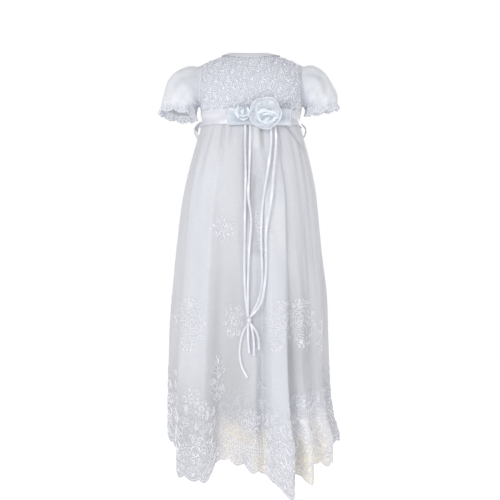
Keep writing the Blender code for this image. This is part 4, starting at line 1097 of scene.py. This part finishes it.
# narrow ribbons, hanging over the skirt
ribbonSizes = {"width": 0.0035, "wall": 0.0003, "layer": 0.0014, "standoff": 0.0022,
               "knot": (-0.0032, -0.4540), "knotStandoff": 0.0046, "knotHalf": (0.0038, 0.0036, 0.0045),
               "twist": 0.60}
ribbonRoutes = {
    "ribbon_1": ((-0.0095, -0.1333), (-0.0100, -0.170), (-0.0090, -0.212), (-0.0100, -0.262),
                 (-0.0105, -0.316), (-0.0110, -0.370), (-0.0095, -0.415), (-0.0051, -0.4491)),
    "ribbon_2": ((-0.0015, -0.1333), (-0.0020, -0.170), (-0.0030, -0.212), (-0.0045, -0.252),
                 (0.0000, -0.290), (-0.0035, -0.345), (-0.0055, -0.405), (-0.0049, -0.4491)),
    "ribbon_3": ((0.0330, -0.1333), (0.0330, -0.165), (0.0270, -0.210), (0.0185, -0.268),
                 (0.0165, -0.320), (0.0180, -0.385), (0.0125, -0.420), (-0.0013, -0.4491)),
    "ribbon_4": ((0.0405, -0.1333), (0.0410, -0.165), (0.0370, -0.210), (0.0330, -0.258),
                 (0.0245, -0.310), (0.0240, -0.375), (0.0165, -0.425), (-0.0015, -0.4491)),
    "ribbon_end_1": ((-0.0051, -0.4589), (-0.0145, -0.478), (-0.0190, -0.505), (-0.0150, -0.530),
                     (-0.0060, -0.548)),
    "ribbon_end_2": ((-0.0049, -0.4589), (-0.0052, -0.480), (-0.0030, -0.508)),
    "ribbon_end_3": ((-0.0013, -0.4589), (0.0038, -0.482), (0.0050, -0.512)),
    "ribbon_end_4": ((-0.0015, -0.4589), (0.0105, -0.478), (0.0130, -0.502)),
}
frontCloth = np.concatenate([skirtPoint(np.linspace(0.12, 0.38, 140), d) for d in np.linspace(0.02, 0.8, 90)])
backCloth = np.concatenate([skirtPoint(np.linspace(0.62, 0.88, 90), d) for d in np.linspace(0.02, 0.6, 60)])


def clothFrontY(x, z, width=0.006):
    near = (np.abs(frontCloth[:, 0] - x) < width) & (np.abs(frontCloth[:, 2] - z) < 0.014)
    return float(frontCloth[near, 1].min())


def clothBackY(x, z):
    near = (np.abs(backCloth[:, 0] - x) < 0.018) & (np.abs(backCloth[:, 2] - z) < 0.030)
    return float(backCloth[near, 1].max())


def smoothRoute(route, count):
    knots = [Vector(point) for point in route]
    knots = [2 * knots[0] - knots[1], *knots, 2 * knots[-1] - knots[-2]]
    dense = []
    for a, b, c, d in zip(knots, knots[1:], knots[2:], knots[3:]):
        for k in range(12):
            t = k / 12
            dense.append(0.5 * (2 * b + (c - a) * t + (2 * a - 5 * b + 4 * c - d) * t**2
                                + (3 * b - a - 3 * c + d) * t**3))
    dense.append(knots[-2])
    lengths = np.concatenate([[0], np.cumsum([(q - p).length for p, q in zip(dense, dense[1:])])])
    wanted = np.linspace(0, lengths[-1], count)
    return [Vector([float(np.interp(at, lengths, [p[axis] for p in dense])) for axis in range(3)])
            for at in wanted]


def walkAlong(line, share):
    # where that share of a line lies, and its direction there
    at = share * (len(line) - 1)
    k = min(int(at), len(line) - 2)
    return line[k].lerp(line[k + 1], at - k), (line[k + 1] - line[k]).normalized()


def easedOut(depths, reach=2):
    held = [min(depths[max(0, k - reach): k + reach + 1]) for k in range(len(depths))]
    return [float(np.mean(held[max(0, k - reach): k + reach + 1])) for k in range(len(held))]


def knotDepth(order):
    middle = clothFrontY(*ribbonSizes["knot"]) - ribbonSizes["knotStandoff"]
    return middle + (0.5 - order) * ribbonSizes["layer"]


def ribbonLine(name, order):
    route = ribbonRoutes[name]
    length = sum(math.dist(a, b) for a, b in zip(route, route[1:]))
    line = smoothRoute([(x, 0, z) for x, z in route], max(6, round(length / 0.015)))
    standoff = ribbonSizes["standoff"] + order * ribbonSizes["layer"]
    if "end" in name:
        depths = easedOut([clothFrontY(ribbonSizes["knot"][0], p.z, width=0.017) for p in line])
        depths[0] = knotDepth(order) + standoff
    else:
        depths = easedOut([clothFrontY(p.x, p.z) for p in line])
        depths[0] = bandFrontY(line[0].x) + 0.0005 + standoff
        depths[-1] = knotDepth(order) + standoff
    for point, depth in zip(line, depths):
        point.y = depth - standoff
    return smoothRoute([tuple(p) for p in line], len(line) * 3)


def makeRibbons(finishes):
    made = {}
    for count, name in enumerate(ribbonRoutes):
        line = ribbonLine(name, count % 2)
        last = len(line) - 1

        def ribbonSpot(a, u):
            point, way = walkAlong(line, u)
            twist = ribbonSizes["twist"] * math.sin(2.4 * u * last / 12 + 1.7 * count)
            held = float(easeStep(0, 0.05, u) * (1 - easeStep(0.95, 1, u)))
            wide = Vector((-way.z, 0, way.x)).normalized() * math.cos(twist)
            return point + (wide + Vector((0, 1, 0)) * math.sin(twist) * held) * (a - 0.5) * ribbonSizes["width"]

        ribbon = clothPiece(name.replace("_", "") + "Satin", 2, last, eachPoint(ribbonSpot), (0.0035, 0.32),
                            finishes["ribbon"], facing=toFront, thick=ribbonSizes["wall"], offset=0.0)
        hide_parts(name)
        made[name] = (ribbon, line)
    bm = bmesh.new()
    bmesh.ops.create_uvsphere(bm, u_segments=16, v_segments=10, radius=1.0)
    for vert in bm.verts:  # a wrapped knot
        ripple = 1 + 0.16 * math.cos(9 * vert.co.z + 2 * math.atan2(vert.co.y, vert.co.x))
        vert.co = vert.co * Vector(ribbonSizes["knotHalf"]) * Vector((ripple, ripple, 1))
    knotX, knotZ = ribbonSizes["knot"]
    bmesh.ops.translate(bm, verts=bm.verts, vec=(knotX, (knotDepth(0) + knotDepth(1)) / 2, knotZ))
    knot = finishPiece("ribbonKnot", bm, finishes["ribbon"])
    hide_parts("ribbon_knot")
    for name, (ribbon, line) in made.items():
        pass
    print("ribbons hung")


# bow behind
bowSizes = {
    "ribbon": 0.0250, "tailBottom": -0.3600, "tailUneven": 0.0120, "tailDrop": 0.0105,
    "tailStart": 0.0048, "tailSpread": (0.020, 0.012), "pinched": 0.0045, "tailPinched": 0.0042, "notch": 0.006,
    "opened": {-1: -0.26, 1: -0.05}, "loopMiddle": (0.052, 0.064, -0.127),
    "knotHalf": (0.0058, 0.0056, 0.0088), "knot": (0, 0.0643, -0.1190),
    "route": (  # one loop, from the knot and back to it
        (0.0062, 0.0650, -0.1165), (0.0300, 0.0700, -0.1110), (0.0620, 0.0660, -0.1105),
        (0.0860, 0.0560, -0.1160), (0.0970, 0.0480, -0.1290), (0.0880, 0.0560, -0.1430),
        (0.0640, 0.0680, -0.1420), (0.0320, 0.0730, -0.1330), (0.0062, 0.0685, -0.1225),
    ),
}


def tailX(hand, share):
    b = bowSizes
    return hand * (b["tailStart"] + b["tailSpread"][0] * float(easeStep(0, 0.45, share))
                   + b["tailSpread"][1] * share)


def makeBackBow(finishes):
    b = bowSizes
    line = smoothRoute(b["route"], 60)
    for hand, name in ((-1, "Left"), (1, "Right")):
        def loopSpot(a, u):
            point, way = walkAlong(line, u)
            near = min(u, 1 - u)
            loose = float(easeStep(0, 0.35, u) * (1 - easeStep(0.65, 1, u)))
            wide = Vector((0, 0.25, 1)).lerp(Vector((b["opened"][hand], 1, 0.10)), loose)
            wide = (wide - way * wide.dot(way)).normalized()
            half = b["pinched"] + (b["ribbon"] / 2 - b["pinched"]) * float(easeStep(0, 0.30, near))
            pleat = 0.0008 * math.sin(5 * math.pi * a) * (1 - float(easeStep(0.05, 0.35, near)))
            spot = point + Vector((0, half * 0.75 * loose, 0)) + wide * half * (2 * a - 1)
            spot += way.cross(wide) * pleat
            return Vector((hand * spot.x, spot.y, spot.z))

        middle = Vector(b["loopMiddle"]) * Vector((hand, 1, 1))
        loop = clothPiece("bowLoop" + name, 12, 118, eachPoint(loopSpot), (0.025, 0.21), finishes["satin"],
                          facing=lambda p: p - middle, thick=0.0005, offset=0.0)
        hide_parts("back_bow_" + name.lower())

        topZ = skirtSizes["waist"] - b["tailDrop"]
        bottomZ = b["tailBottom"] + hand * b["tailUneven"]
        depths = easedOut([
            -(clothBackY(tailX(hand, k / 24), topZ + (bottomZ - topZ) * k / 24) + 0.0016
              + 0.0040 * float(1 - easeStep(0, 0.2, k / 24))) for k in range(25)])

        def tailSpot(a, u):
            share = 1 - u
            x = tailX(hand, share)
            half = b["tailPinched"] + (b["ribbon"] / 2 - b["tailPinched"]) * float(easeStep(0, 0.30, share))
            half = min(half, abs(x) - 0.0004)
            y = -float(np.interp(share * 24, range(25), depths))
            cut = b["notch"] * (a if hand > 0 else 1 - a) * float(easeStep(0.9, 1, share))
            cup = 0.0010 * math.cos(2 * math.pi * a) * float(1 - easeStep(0.1, 0.5, share))
            return Vector((x + half * (2 * a - 1), y + cup, topZ + (bottomZ - topZ) * share - cut))

        tail = clothPiece("bowTail" + name, 10, 60, eachPoint(tailSpot), (0.025, 0.24), finishes["satin"],
                          facing=lambda p: Vector((0, 1, 0)), thick=0.0005, offset=0.0)
        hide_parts("back_tail_" + name.lower())
    bm = bmesh.new()
    bmesh.ops.create_uvsphere(bm, u_segments=24, v_segments=14, radius=1.0)
    for vert in bm.verts:
        pleat = 1 + 0.05 * math.cos(7 * math.atan2(vert.co.y, vert.co.x))
        vert.co = vert.co * Vector(b["knotHalf"]) * Vector((pleat, pleat, 1))
    bmesh.ops.translate(bm, verts=bm.verts, vec=b["knot"])
    knot = finishPiece("bowKnot", bm, finishes["satin"])
    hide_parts("back_bow_knot")
    print("bow tied")


# embroidery on the skirt
embroidery = {  # across and up in the front view, size, how tall for its width
    "rounds": ((-0.1020, -0.4620, 0.0240, 1.20), (0.0440, -0.4630, 0.0185, 1.35), (0.0800, -0.4600, 0.0235, 1.15),
               (-0.0280, -0.4560, 0.0105, 1.55), (-0.0973, -0.5790, 0.0085, 1.0), (0.0015, -0.6180, 0.0095, 1.2),
               (0.0760, -0.5900, 0.0080, 1.1), (0.0960, -0.5880, 0.0070, 1.2), (-0.0800, -0.5980, 0.0070, 1.0)),
    "backMedallions": 7, "backSprigs": ((0.640, 0.395, 0.021), (0.830, 0.395, 0.021)),
    "period": 0.0396, "plain": (0.205, 0.272), "cord": 0.0011, "hemCord": 0.0012, "lift": 0.0004, "edgeLift": 0.0002,
    "edge": ((0.0004, 0.0, 1.4), (0.0042, 0.001, 1.0)),
}
frontShares = np.linspace(0.02, 0.48, 1500)
frontLevels = np.linspace(-0.14, -0.745, 150)
frontNet = skirtPoint(frontShares, np.clip((skirtSizes["waist"] - skirtSizes["seam"] - frontLevels[:, None])
                                           / (skirtSizes["waist"] - foldAt(frontShares)[2]), 0, 1), scallops=False)


def seenFromFront(strokes):
    # strokes drawn in the front view, laid on the nearest cloth there and cut where it falls away
    found = []
    for stroke in strokes:
        level = np.interp(-stroke[:, 1], -frontLevels, np.arange(len(frontLevels)))
        k = np.minimum(level.astype(int), len(frontLevels) - 2)
        part = (level - k)[:, None, None]
        near = frontNet[k] * (1 - part) + frontNet[k + 1] * part
        gap = near[:, :, 0] - stroke[:, :1]
        met = gap[:, :-1] * gap[:, 1:] <= 0
        at = np.where(met, near[:, :-1, 1], 9.0).argmin(axis=1)
        rows = np.arange(len(stroke))
        slip = gap[rows, at] / (gap[rows, at] - gap[rows, at + 1] + 1e-12)
        share = frontShares[at] + slip * (frontShares[1] - frontShares[0])
        down = (skirtSizes["waist"] - skirtSizes["seam"] - stroke[:, 1]) / (skirtSizes["waist"] - foldAt(share)[2])
        good = met.any(axis=1) & (down < 0.985)
        depth = near[rows, at, 1]
        run = []
        for j in rows:
            if run and (not good[j] or abs(depth[j] - depth[j - 1]) > 0.005 or abs(share[j] - share[j - 1]) > 0.02):
                if len(run) > 1:
                    found.append(np.array(run))
                run = []
            if good[j]:
                run.append((share[j], down[j], stroke[j, 2]))
        if len(run) > 1:
            found.append(np.array(run))
    return found


def skirtSpot(share, up):
    return girthAt(share), up


roundSizes = {"pitch": 0.0037, "heartLeaf": 0.0042, "heart": 0.0012, "drawn": 0.84, "fringe": 9,
              "fringeGap": 0.0022, "fringeLeaf": 0.0062, "fringeCurl": 0.0022}


def mazeRound(at, radius, tall, seed=0.0):
    # a daisy in broken, waving rounds of cord, with a fringe of leaves
    r = roundSizes
    pitch = r["pitch"]
    found = [laid(leaf(r["heartLeaf"], 0.0, 1.1), (r["heart"] * math.cos(a), r["heart"] * math.sin(a)), a)
             for a in np.arange(8) * np.pi / 4 + seed]
    for k in range(1, int(radius / pitch) + 1):
        arcs = 2 + k
        for j in range(arcs):
            first = 2 * np.pi * (j + 0.35 * math.sin(seed + 3 * k)) / arcs
            turn = np.linspace(first, first + 2 * np.pi * r["drawn"] / arcs, 11)
            reach = pitch * (k + 0.35) + 0.0013 * np.sin((4 + k) * turn + seed + 2 * k)
            reach = reach + 0.0008 * np.cos(turn * 2 + seed)
            found.append(strokeOf(reach * np.cos(turn), reach * np.sin(turn), 1.05))
            ends = np.array((reach[-1], reach[-1] + 0.6 * pitch))
            found.append(strokeOf(ends * math.cos(turn[-1]), ends * math.sin(turn[-1]), (1.0, 0.8)))
    for j in range(r["fringe"]):
        angle = 2 * np.pi * j / r["fringe"] + seed
        outside = radius + r["fringeGap"]
        place = (outside * math.cos(angle), outside * math.sin(angle))
        found.append(laid(openLeaf(r["fringeLeaf"], 0.40, 0.85), place, angle + 0.5 * (-1) ** j))
        found.append(laid(curl(r["fringeCurl"], (-1) ** j), place, angle + 1.2))
    return [laid(stroke * (1, tall, 1), at) for stroke in found]


frontMotifs = {  # the smaller sprays of the front: across and up in the front view, then size, angle and the like
    "upperBlossoms": ((-0.0450, -0.3030, 0.0080, 7, 0.3), (-0.0375, -0.2985, 0.0050, 5, 0.9)),
    "upperLeaves": ((-0.0495, -0.2965, 0.0120, 2.05, 1.7), (-0.0500, -0.3080, 0.0120, -2.25, 1.9),
                    (-0.0410, -0.3110, 0.0090, -0.90, 1.7), (-0.0560, -0.3010, 0.0090, 2.60, 1.9),
                    (-0.0430, -0.2935, 0.0090, 1.45, 1.9), (-0.0590, -0.3070, 0.0070, -1.30, 1.9),
                    (-0.0350, -0.3050, 0.0080, 0.10, 1.7), (-0.0460, -0.3120, 0.0120, -1.45, 1.7)),
    "upperCurls": ((-0.0560, -0.2960, 0.0028, 1.9), (-0.0320, -0.3110, 0.0026, -0.6),
                   (-0.0640, -0.3040, 0.0026, 2.9), (-0.0500, -0.2860, 0.0026, 1.2),
                   (-0.0400, -0.3200, 0.0024, -1.4), (-0.0300, -0.2970, 0.0024, 0.6)),
    "upperRings": ((-0.0350, -0.3150, 0.0021, 8), (-0.0470, -0.3250, 0.0018, 7)),
    "openingBlossoms": ((0.0225, -0.3045, 0.0050, 5, 0.0), (0.0325, -0.3090, 0.0042, 5, 0.6)),
    "scrolls": 16, "scrollsFrom": (0.0050, -0.2790), "scrollsBy": (0.0130, -0.0680),
    "middleBits": 5, "middleStep": 0.0050,
    "sideSprays": ((-0.1000, -0.4290, 1), (-0.1060, -0.4960, -1), (0.0480, -0.4320, 1), (0.0400, -0.4940, -1),
                   (0.0820, -0.4300, 1), (0.0850, -0.4900, -1)),
    "tallSprays": ((-0.0560, -0.5820, 0.0340, 1.50), (-0.0530, -0.5480, 0.0300, 1.62)),
    "tallLeaves": ((-0.0530, -0.5260, 0.0110, 1.5, 2.2), (-0.0560, -0.5560, 0.0090, 2.3, 2.0),
                   (-0.0545, -0.5500, 0.0090, 0.8, 2.0)),
    "lowBlossoms": ((-0.0630, -0.5560, 0.0050, 5, 0.0), (-0.0490, -0.5660, 0.0056, 6, 0.0),
                    (-0.0560, -0.5810, 0.0060, 6, 0.4), (0.0145, -0.5640, 0.0052, 5, 0.0)),
    "swag": ((-0.0470, -0.6360), (-0.0390, -0.6420), (-0.0250, -0.6490), (-0.0100, -0.6555),
             (0.0065, -0.6595), (0.0240, -0.6610)),
    "swagRows": (0.0, 0.0044, 0.0088, 0.0150),
}


def manyBlossoms(rows):
    return [stroke for x, z, size, petals, turn in rows for stroke in blossom((x, z), size, petals, turn)]


def manyLeaves(rows):
    return [laid(leaf(length, 0.1, fat), (x, z), angle) for x, z, length, angle, fat in rows]


def frontSprigs():
    m = frontMotifs
    found = manyBlossoms(m["upperBlossoms"]) + manyLeaves(m["upperLeaves"])
    found += [laid(curl(size, 1), (x, z), angle) for x, z, size, angle in m["upperCurls"]]
    found += [laid(ring(radius, count), (x, z)) for x, z, radius, count in m["upperRings"]]
    found += manyBlossoms(m["openingBlossoms"])
    # the scrolled edge beside the opening
    for k in range(m["scrolls"]):
        x, z = (start + by * k / (m["scrolls"] - 1) for start, by in zip(m["scrollsFrom"], m["scrollsBy"]))
        found.append(laid(curl(0.0024, (-1) ** k), (x + 0.0015, z), 1.2 * k))
        found.append(laid(leaf(0.0048, 0.2, 1.2), (x + 0.0022, z), 0.3 * (-1) ** k))
    # bits round the middle motif, and above and below the side ones
    for k in range(m["middleBits"]):
        along = m["middleStep"] * k
        found.append(laid(curl(0.0022, (-1) ** k), (-0.0390 + along, -0.4800), 0.4 * k))
        found.append(laid(leaf(0.0060, 0.0, 1.2), (-0.0380 + along, -0.4770), 1.57))
    for x, z, hand in m["sideSprays"]:
        found += blossom((x, z), 0.0048, 5, x * 90) + blossom((x + 0.0090, z + hand * 0.0035), 0.0036, 5, x * 40)
        for k in range(5):
            curlAt = (x - 0.0120 + 0.0055 * k, z + hand * 0.0050 * math.sin(k + x * 60))
            leafAt = (x - 0.0090 + 0.0045 * k, z + hand * 0.0045)
            found.append(laid(curl(0.0024, (-1) ** k), curlAt, 1.3 * k + hand))
            found.append(laid(leaf(0.0062, 0.2 * (-1) ** k, 1.4), leafAt, hand * (1.0 + 0.35 * k)))
    # a tall spray low on the left, and a small one by the long end of a ribbon
    for x, z, length, angle in m["tallSprays"]:
        found += spray((x, z), length, angle)
    found += manyLeaves(m["tallLeaves"]) + manyBlossoms(m["lowBlossoms"])
    found += [laid(openLeaf(0.0075, 0.4, 0.9), (0.0145, -0.5600), 1.4), laid(curl(0.0024), (0.0200, -0.5660), 0.3)]
    # a swag of three cords with bars, over the hem of the middle panel
    swag = np.array(m["swag"])
    x = np.linspace(swag[0, 0], swag[-1, 0], 26)
    rows = [strokeOf(x, np.interp(x, swag[:, 0], swag[:, 1]) - low, 1.1) for low in m["swagRows"]]
    for upper, lower in zip(rows, rows[1:]):
        found += [np.stack([upper[j], lower[j]]) * (1, 1, 0.8) for j in range(len(upper))]
    return found + rows


def backSprigs():
    e = embroidery
    found = []
    for share, up, size in e["backSprigs"]:
        at = skirtSpot(share, up)
        found += blossom(at, size * 0.50, 6) + spray((at[0], at[1] + size * 0.6), size * 0.8, np.pi / 2)
        found += spray((at[0], at[1] - size * 0.6), size * 0.7, -np.pi / 2)
        for hand in (-1, 1):
            found += [laid(curl(size * 0.26, hand), (at[0] + hand * size * 0.5, at[1]), 0 if hand > 0 else np.pi)]
            found += blossom((at[0] + hand * size * 0.75, at[1] - size * 0.45), size * 0.24, 5)
    for k in range(e["backMedallions"]):
        found += mazeRound(skirtSpot(0.54 + 0.46 * (k + 0.5) / e["backMedallions"], 0.226), 0.0230, 1.15, k)
    return found + mazeRound(skirtSpot(0.445, 0.215), 0.0200, 1.2, 2.0)


shellSizes = {"foot": 0.0085, "arches": ((0.30, 0.0085, 0.9), (0.40, 0.0125, 1.1), (0.49, 0.0165, 1.1)),
              "bars": 8, "barWide": (0.42, 0.48), "barTall": (0.0132, 0.0160), "leaf": 0.0065, "leafUp": 0.0100}


def shellRow(scallops):
    # concentric arches with short bars between them, one over each scallop of the hem
    s = shellSizes
    rows = []
    pitch = hemGirth / scallops
    turn = np.linspace(0.06 * np.pi, 0.94 * np.pi, 13)
    barWide, barTall = np.array(s["barWide"]), np.array(s["barTall"])
    for k in range(scallops):
        middle = (k + 0.5) * pitch
        rows += [strokeOf(middle + wide * pitch * np.cos(turn), s["foot"] + tall * np.sin(turn), thick)
                 for wide, tall, thick in s["arches"]]
        rows += [strokeOf(middle + barWide * pitch * math.cos(angle), s["foot"] + barTall * math.sin(angle), 0.9)
                 for angle in np.linspace(0.12 * np.pi, 0.88 * np.pi, s["bars"])]
        rows += [laid(leaf(s["leaf"], 0.0, 1.6), (middle, s["leafUp"]), np.pi / 2 + lean) for lean in (-0.7, 0, 0.7)]
    return rows


hemMotifs = {  # the lace over the hem, in repeats: size, hand or bend, how far aside, how high, angle left and right
    "lowerCurls": ((0.0050, 1, 0.0080, 0.036, (3.5, -0.4)), (0.0046, -1, 0.0105, 0.066, (2.6, 0.5))),
    "lowerLeaves": ((0.012, 0.2, 0.0120, 0.050, (math.pi / 2 + 0.6, math.pi / 2 - 0.6)),
                    (0.010, -0.2, 0.0150, 0.050, (4.0, -1.0))),
    "upperCurls": ((0.0042, 1, 0.0085, 0.080, (2.1, 1.0)), (0.0034, -1, 0.0100, 0.098, (2.9, 0.2))),
    "upperLeaves": ((0.010, 0.25, 0.0070, 0.070, (math.pi / 2 + 0.9, math.pi / 2 - 0.9)),),
    "sway": 0.004, "dots": 9, "dotsUp": 0.0285, "plainDotsUp": 0.0275, "dotsStep": 0.0012,
    "rings": 6, "ring": 0.0016, "ringsUp": 0.0315, "strewn": 16, "strewnFrom": 0.068, "strewnOver": 0.064,
}


def bothSides(middle, curls, leaves):
    found = []
    for hand in (-1, 1):
        found += [laid(curl(size, hand * way), (middle + hand * aside, up), angles[hand > 0])
                  for size, way, aside, up, angles in curls]
        found += [laid(leaf(size, hand * bend), (middle + hand * aside, up), angles[hand > 0])
                  for size, bend, aside, up, angles in leaves]
    return found


def hemLace():
    h = hemMotifs
    count = round(hemGirth / embroidery["period"])
    step = hemGirth / count
    lower, upper = shellRow(skirtSizes["scallops"]), []

    def dotRow(start, up):
        return [dot(start + step * (j + 0.5) / h["dots"], up + h["dotsStep"] * (j % 2)) for j in range(h["dots"])]

    for k in range(count):
        middle = k * step
        sway = h["sway"] * math.sin(1.7 * k)
        share = float(np.interp(middle + step / 2, hemGirths, hemShares))
        if embroidery["plain"][0] < share < embroidery["plain"][1]:  # the middle panel's lace stays low
            lower += dotRow(middle, h["plainDotsUp"])
            continue
        lower += blossom((middle, 0.054 + sway), 0.0112, 7, 0.9 * k)
        lower += blossom((middle + step / 2, 0.040), 0.0080, 6, 0.5 * k)
        lower += bothSides(middle, h["lowerCurls"], h["lowerLeaves"])
        lower += dotRow(middle - step / 2, h["dotsUp"])
        lower += [laid(ring(h["ring"], 5), (middle - step / 2 + step * (j + 0.5) / h["rings"], h["ringsUp"]))
                  for j in range(h["rings"])]
        upper += blossom((middle + step / 2, 0.074 + sway), 0.0092, 6, 0.7 * k)
        upper += spray((middle + step / 2, 0.088 + sway), 0.0125, np.pi / 2)
        upper += blossom((middle, 0.090 - sway), 0.0072, 5, k)
        upper += spray((middle, 0.101 - sway), 0.0140, np.pi / 2)
        if k % 2:
            upper += blossom((middle, 0.122 + sway), 0.0050, 5, k)
        upper += bothSides(middle, h["upperCurls"], h["upperLeaves"])
        for j in range(h["strewn"]):
            across, up = (j * 0.618 + 0.11 * k) % 1.0, (j * 0.377 + 0.07 * k) % 1.0
            upper.append(dot(middle + step * across, h["strewnFrom"] + h["strewnOver"] * up))
    return lower, upper


def onEdge(around, up, lift):
    length = skirtSizes["waist"] - foldAt(around)[2]
    return surfaceLift(skirtPoint, around, 1 - up / length, lift)


def makeEmbroidery(finishes):
    e = embroidery

    def sew(name, strokes, host, thickness, lift=e["lift"]):
        threadPiece(name, strokes, host, thickness, finishes["stitch"], lift=lift)

    strokes = frontSprigs()
    for k, (x, z, radius, tall) in enumerate(e["rounds"]):
        strokes += mazeRound((x, z), radius, tall, 1.3 * k)
    sew("frontSprays", seenFromFront(strokes), lambda a, d, lift: surfaceLift(skirtPoint, a, d, lift), e["cord"])
    sew("skirtSprays", backSprigs(), onSkirt, e["cord"])
    lower, upper = hemLace()
    sew("hemLaceLower", lower, onSkirt, e["hemCord"])
    sew("hemLaceUpper", upper, onSkirt, e["cord"])
    scallops = skirtSizes["scallops"]
    share = np.linspace(0, 1, scallops * 14 + 1)
    arch = 1 - np.abs(np.cos(np.pi * scallops * share)) ** 0.7
    sew("hemScallops", [strokeOf(share, base + rise * arch, thick) for base, rise, thick in e["edge"]], onEdge,
        e["hemCord"], e["edgeLift"])
    print("embroidery sewn")


def makeButtons(finishes):
    for k in range(4):
        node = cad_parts[f"button_{k + 1}"]
        node.data.materials.clear()
        node.data.materials.append(finishes["pearl"])
    print("buttons polished")


setStudio()
finishes = {
    "net": makeNet(),
    "organza": makeSheer("sleeveOrganzaCloth", (0.70, 0.715, 0.76), (0.80, 0.82, 0.875), 0.86, 0.95, (26, 18, 26)),
    "petal": makeSheer("petalOrganza", (0.66, 0.70, 0.76), (0.78, 0.82, 0.88), 0.60, 0.82, (90, 90, 90)),
    "lining": makeSatin("liningCloth", (0.72, 0.715, 0.73), (0.77, 0.765, 0.78), 0.55),
    "laceGround": makeLaceGround("bodiceNetGround", (0.46, 0.47, 0.52), (0.64, 0.65, 0.71), 0.0026),
    "laceNet": makeSheer("cuffNet", (0.66, 0.67, 0.72), (0.80, 0.81, 0.87), 0.55, 0.92, (700, 700, 700)),
    "cord": makeThread("laceCordThread", (0.76, 0.77, 0.83), (0.90, 0.91, 0.97)),
    "stitch": makeThread("embroideryThread", (0.82, 0.83, 0.88), (0.93, 0.935, 0.98)),
    "satin": makeSatin("sashSatin", (0.62, 0.625, 0.68), (0.71, 0.715, 0.775), 0.30, 0.25),
    "satinDeep": makeSatin("bandSatin", (0.47, 0.52, 0.58), (0.71, 0.76, 0.835), 0.26, 0.55),
    # a lighter and a darker copy of one flower satin: painted light and painted shade
    "satinPaintedLight": makeSatin("flowerSatinPaintedLight", (0.66, 0.71, 0.78), (0.90, 0.93, 0.97), 0.20, 0.45),
    "satinPaintedShade": makeSatin("flowerSatinPaintedShade", (0.36, 0.41, 0.48), (0.52, 0.58, 0.66), 0.26, 0.45),
    "ribbon": makeSatin("ribbonSatin", (0.72, 0.73, 0.79), (0.82, 0.83, 0.89), 0.32),
    "piping": makeSatin("armholePipingCloth", (0.74, 0.75, 0.80), (0.80, 0.81, 0.87), 0.5),
    "pearl": makePearl("buttonPearl", (0.85, 0.84, 0.83)),
    "bead": makePearl("sprigBead", (0.36, 0.38, 0.43)),
    "lightBead": makePearl("loopBead", (0.66, 0.68, 0.74)),
}
makeRibbons(finishes)
makeBodice(finishes)
makeSleeves(finishes)
makeSkirt(finishes)
makeSash(finishes)
makeFlowers(finishes)
makeBackBow(finishes)
makeEmbroidery(finishes)
makeButtons(finishes)
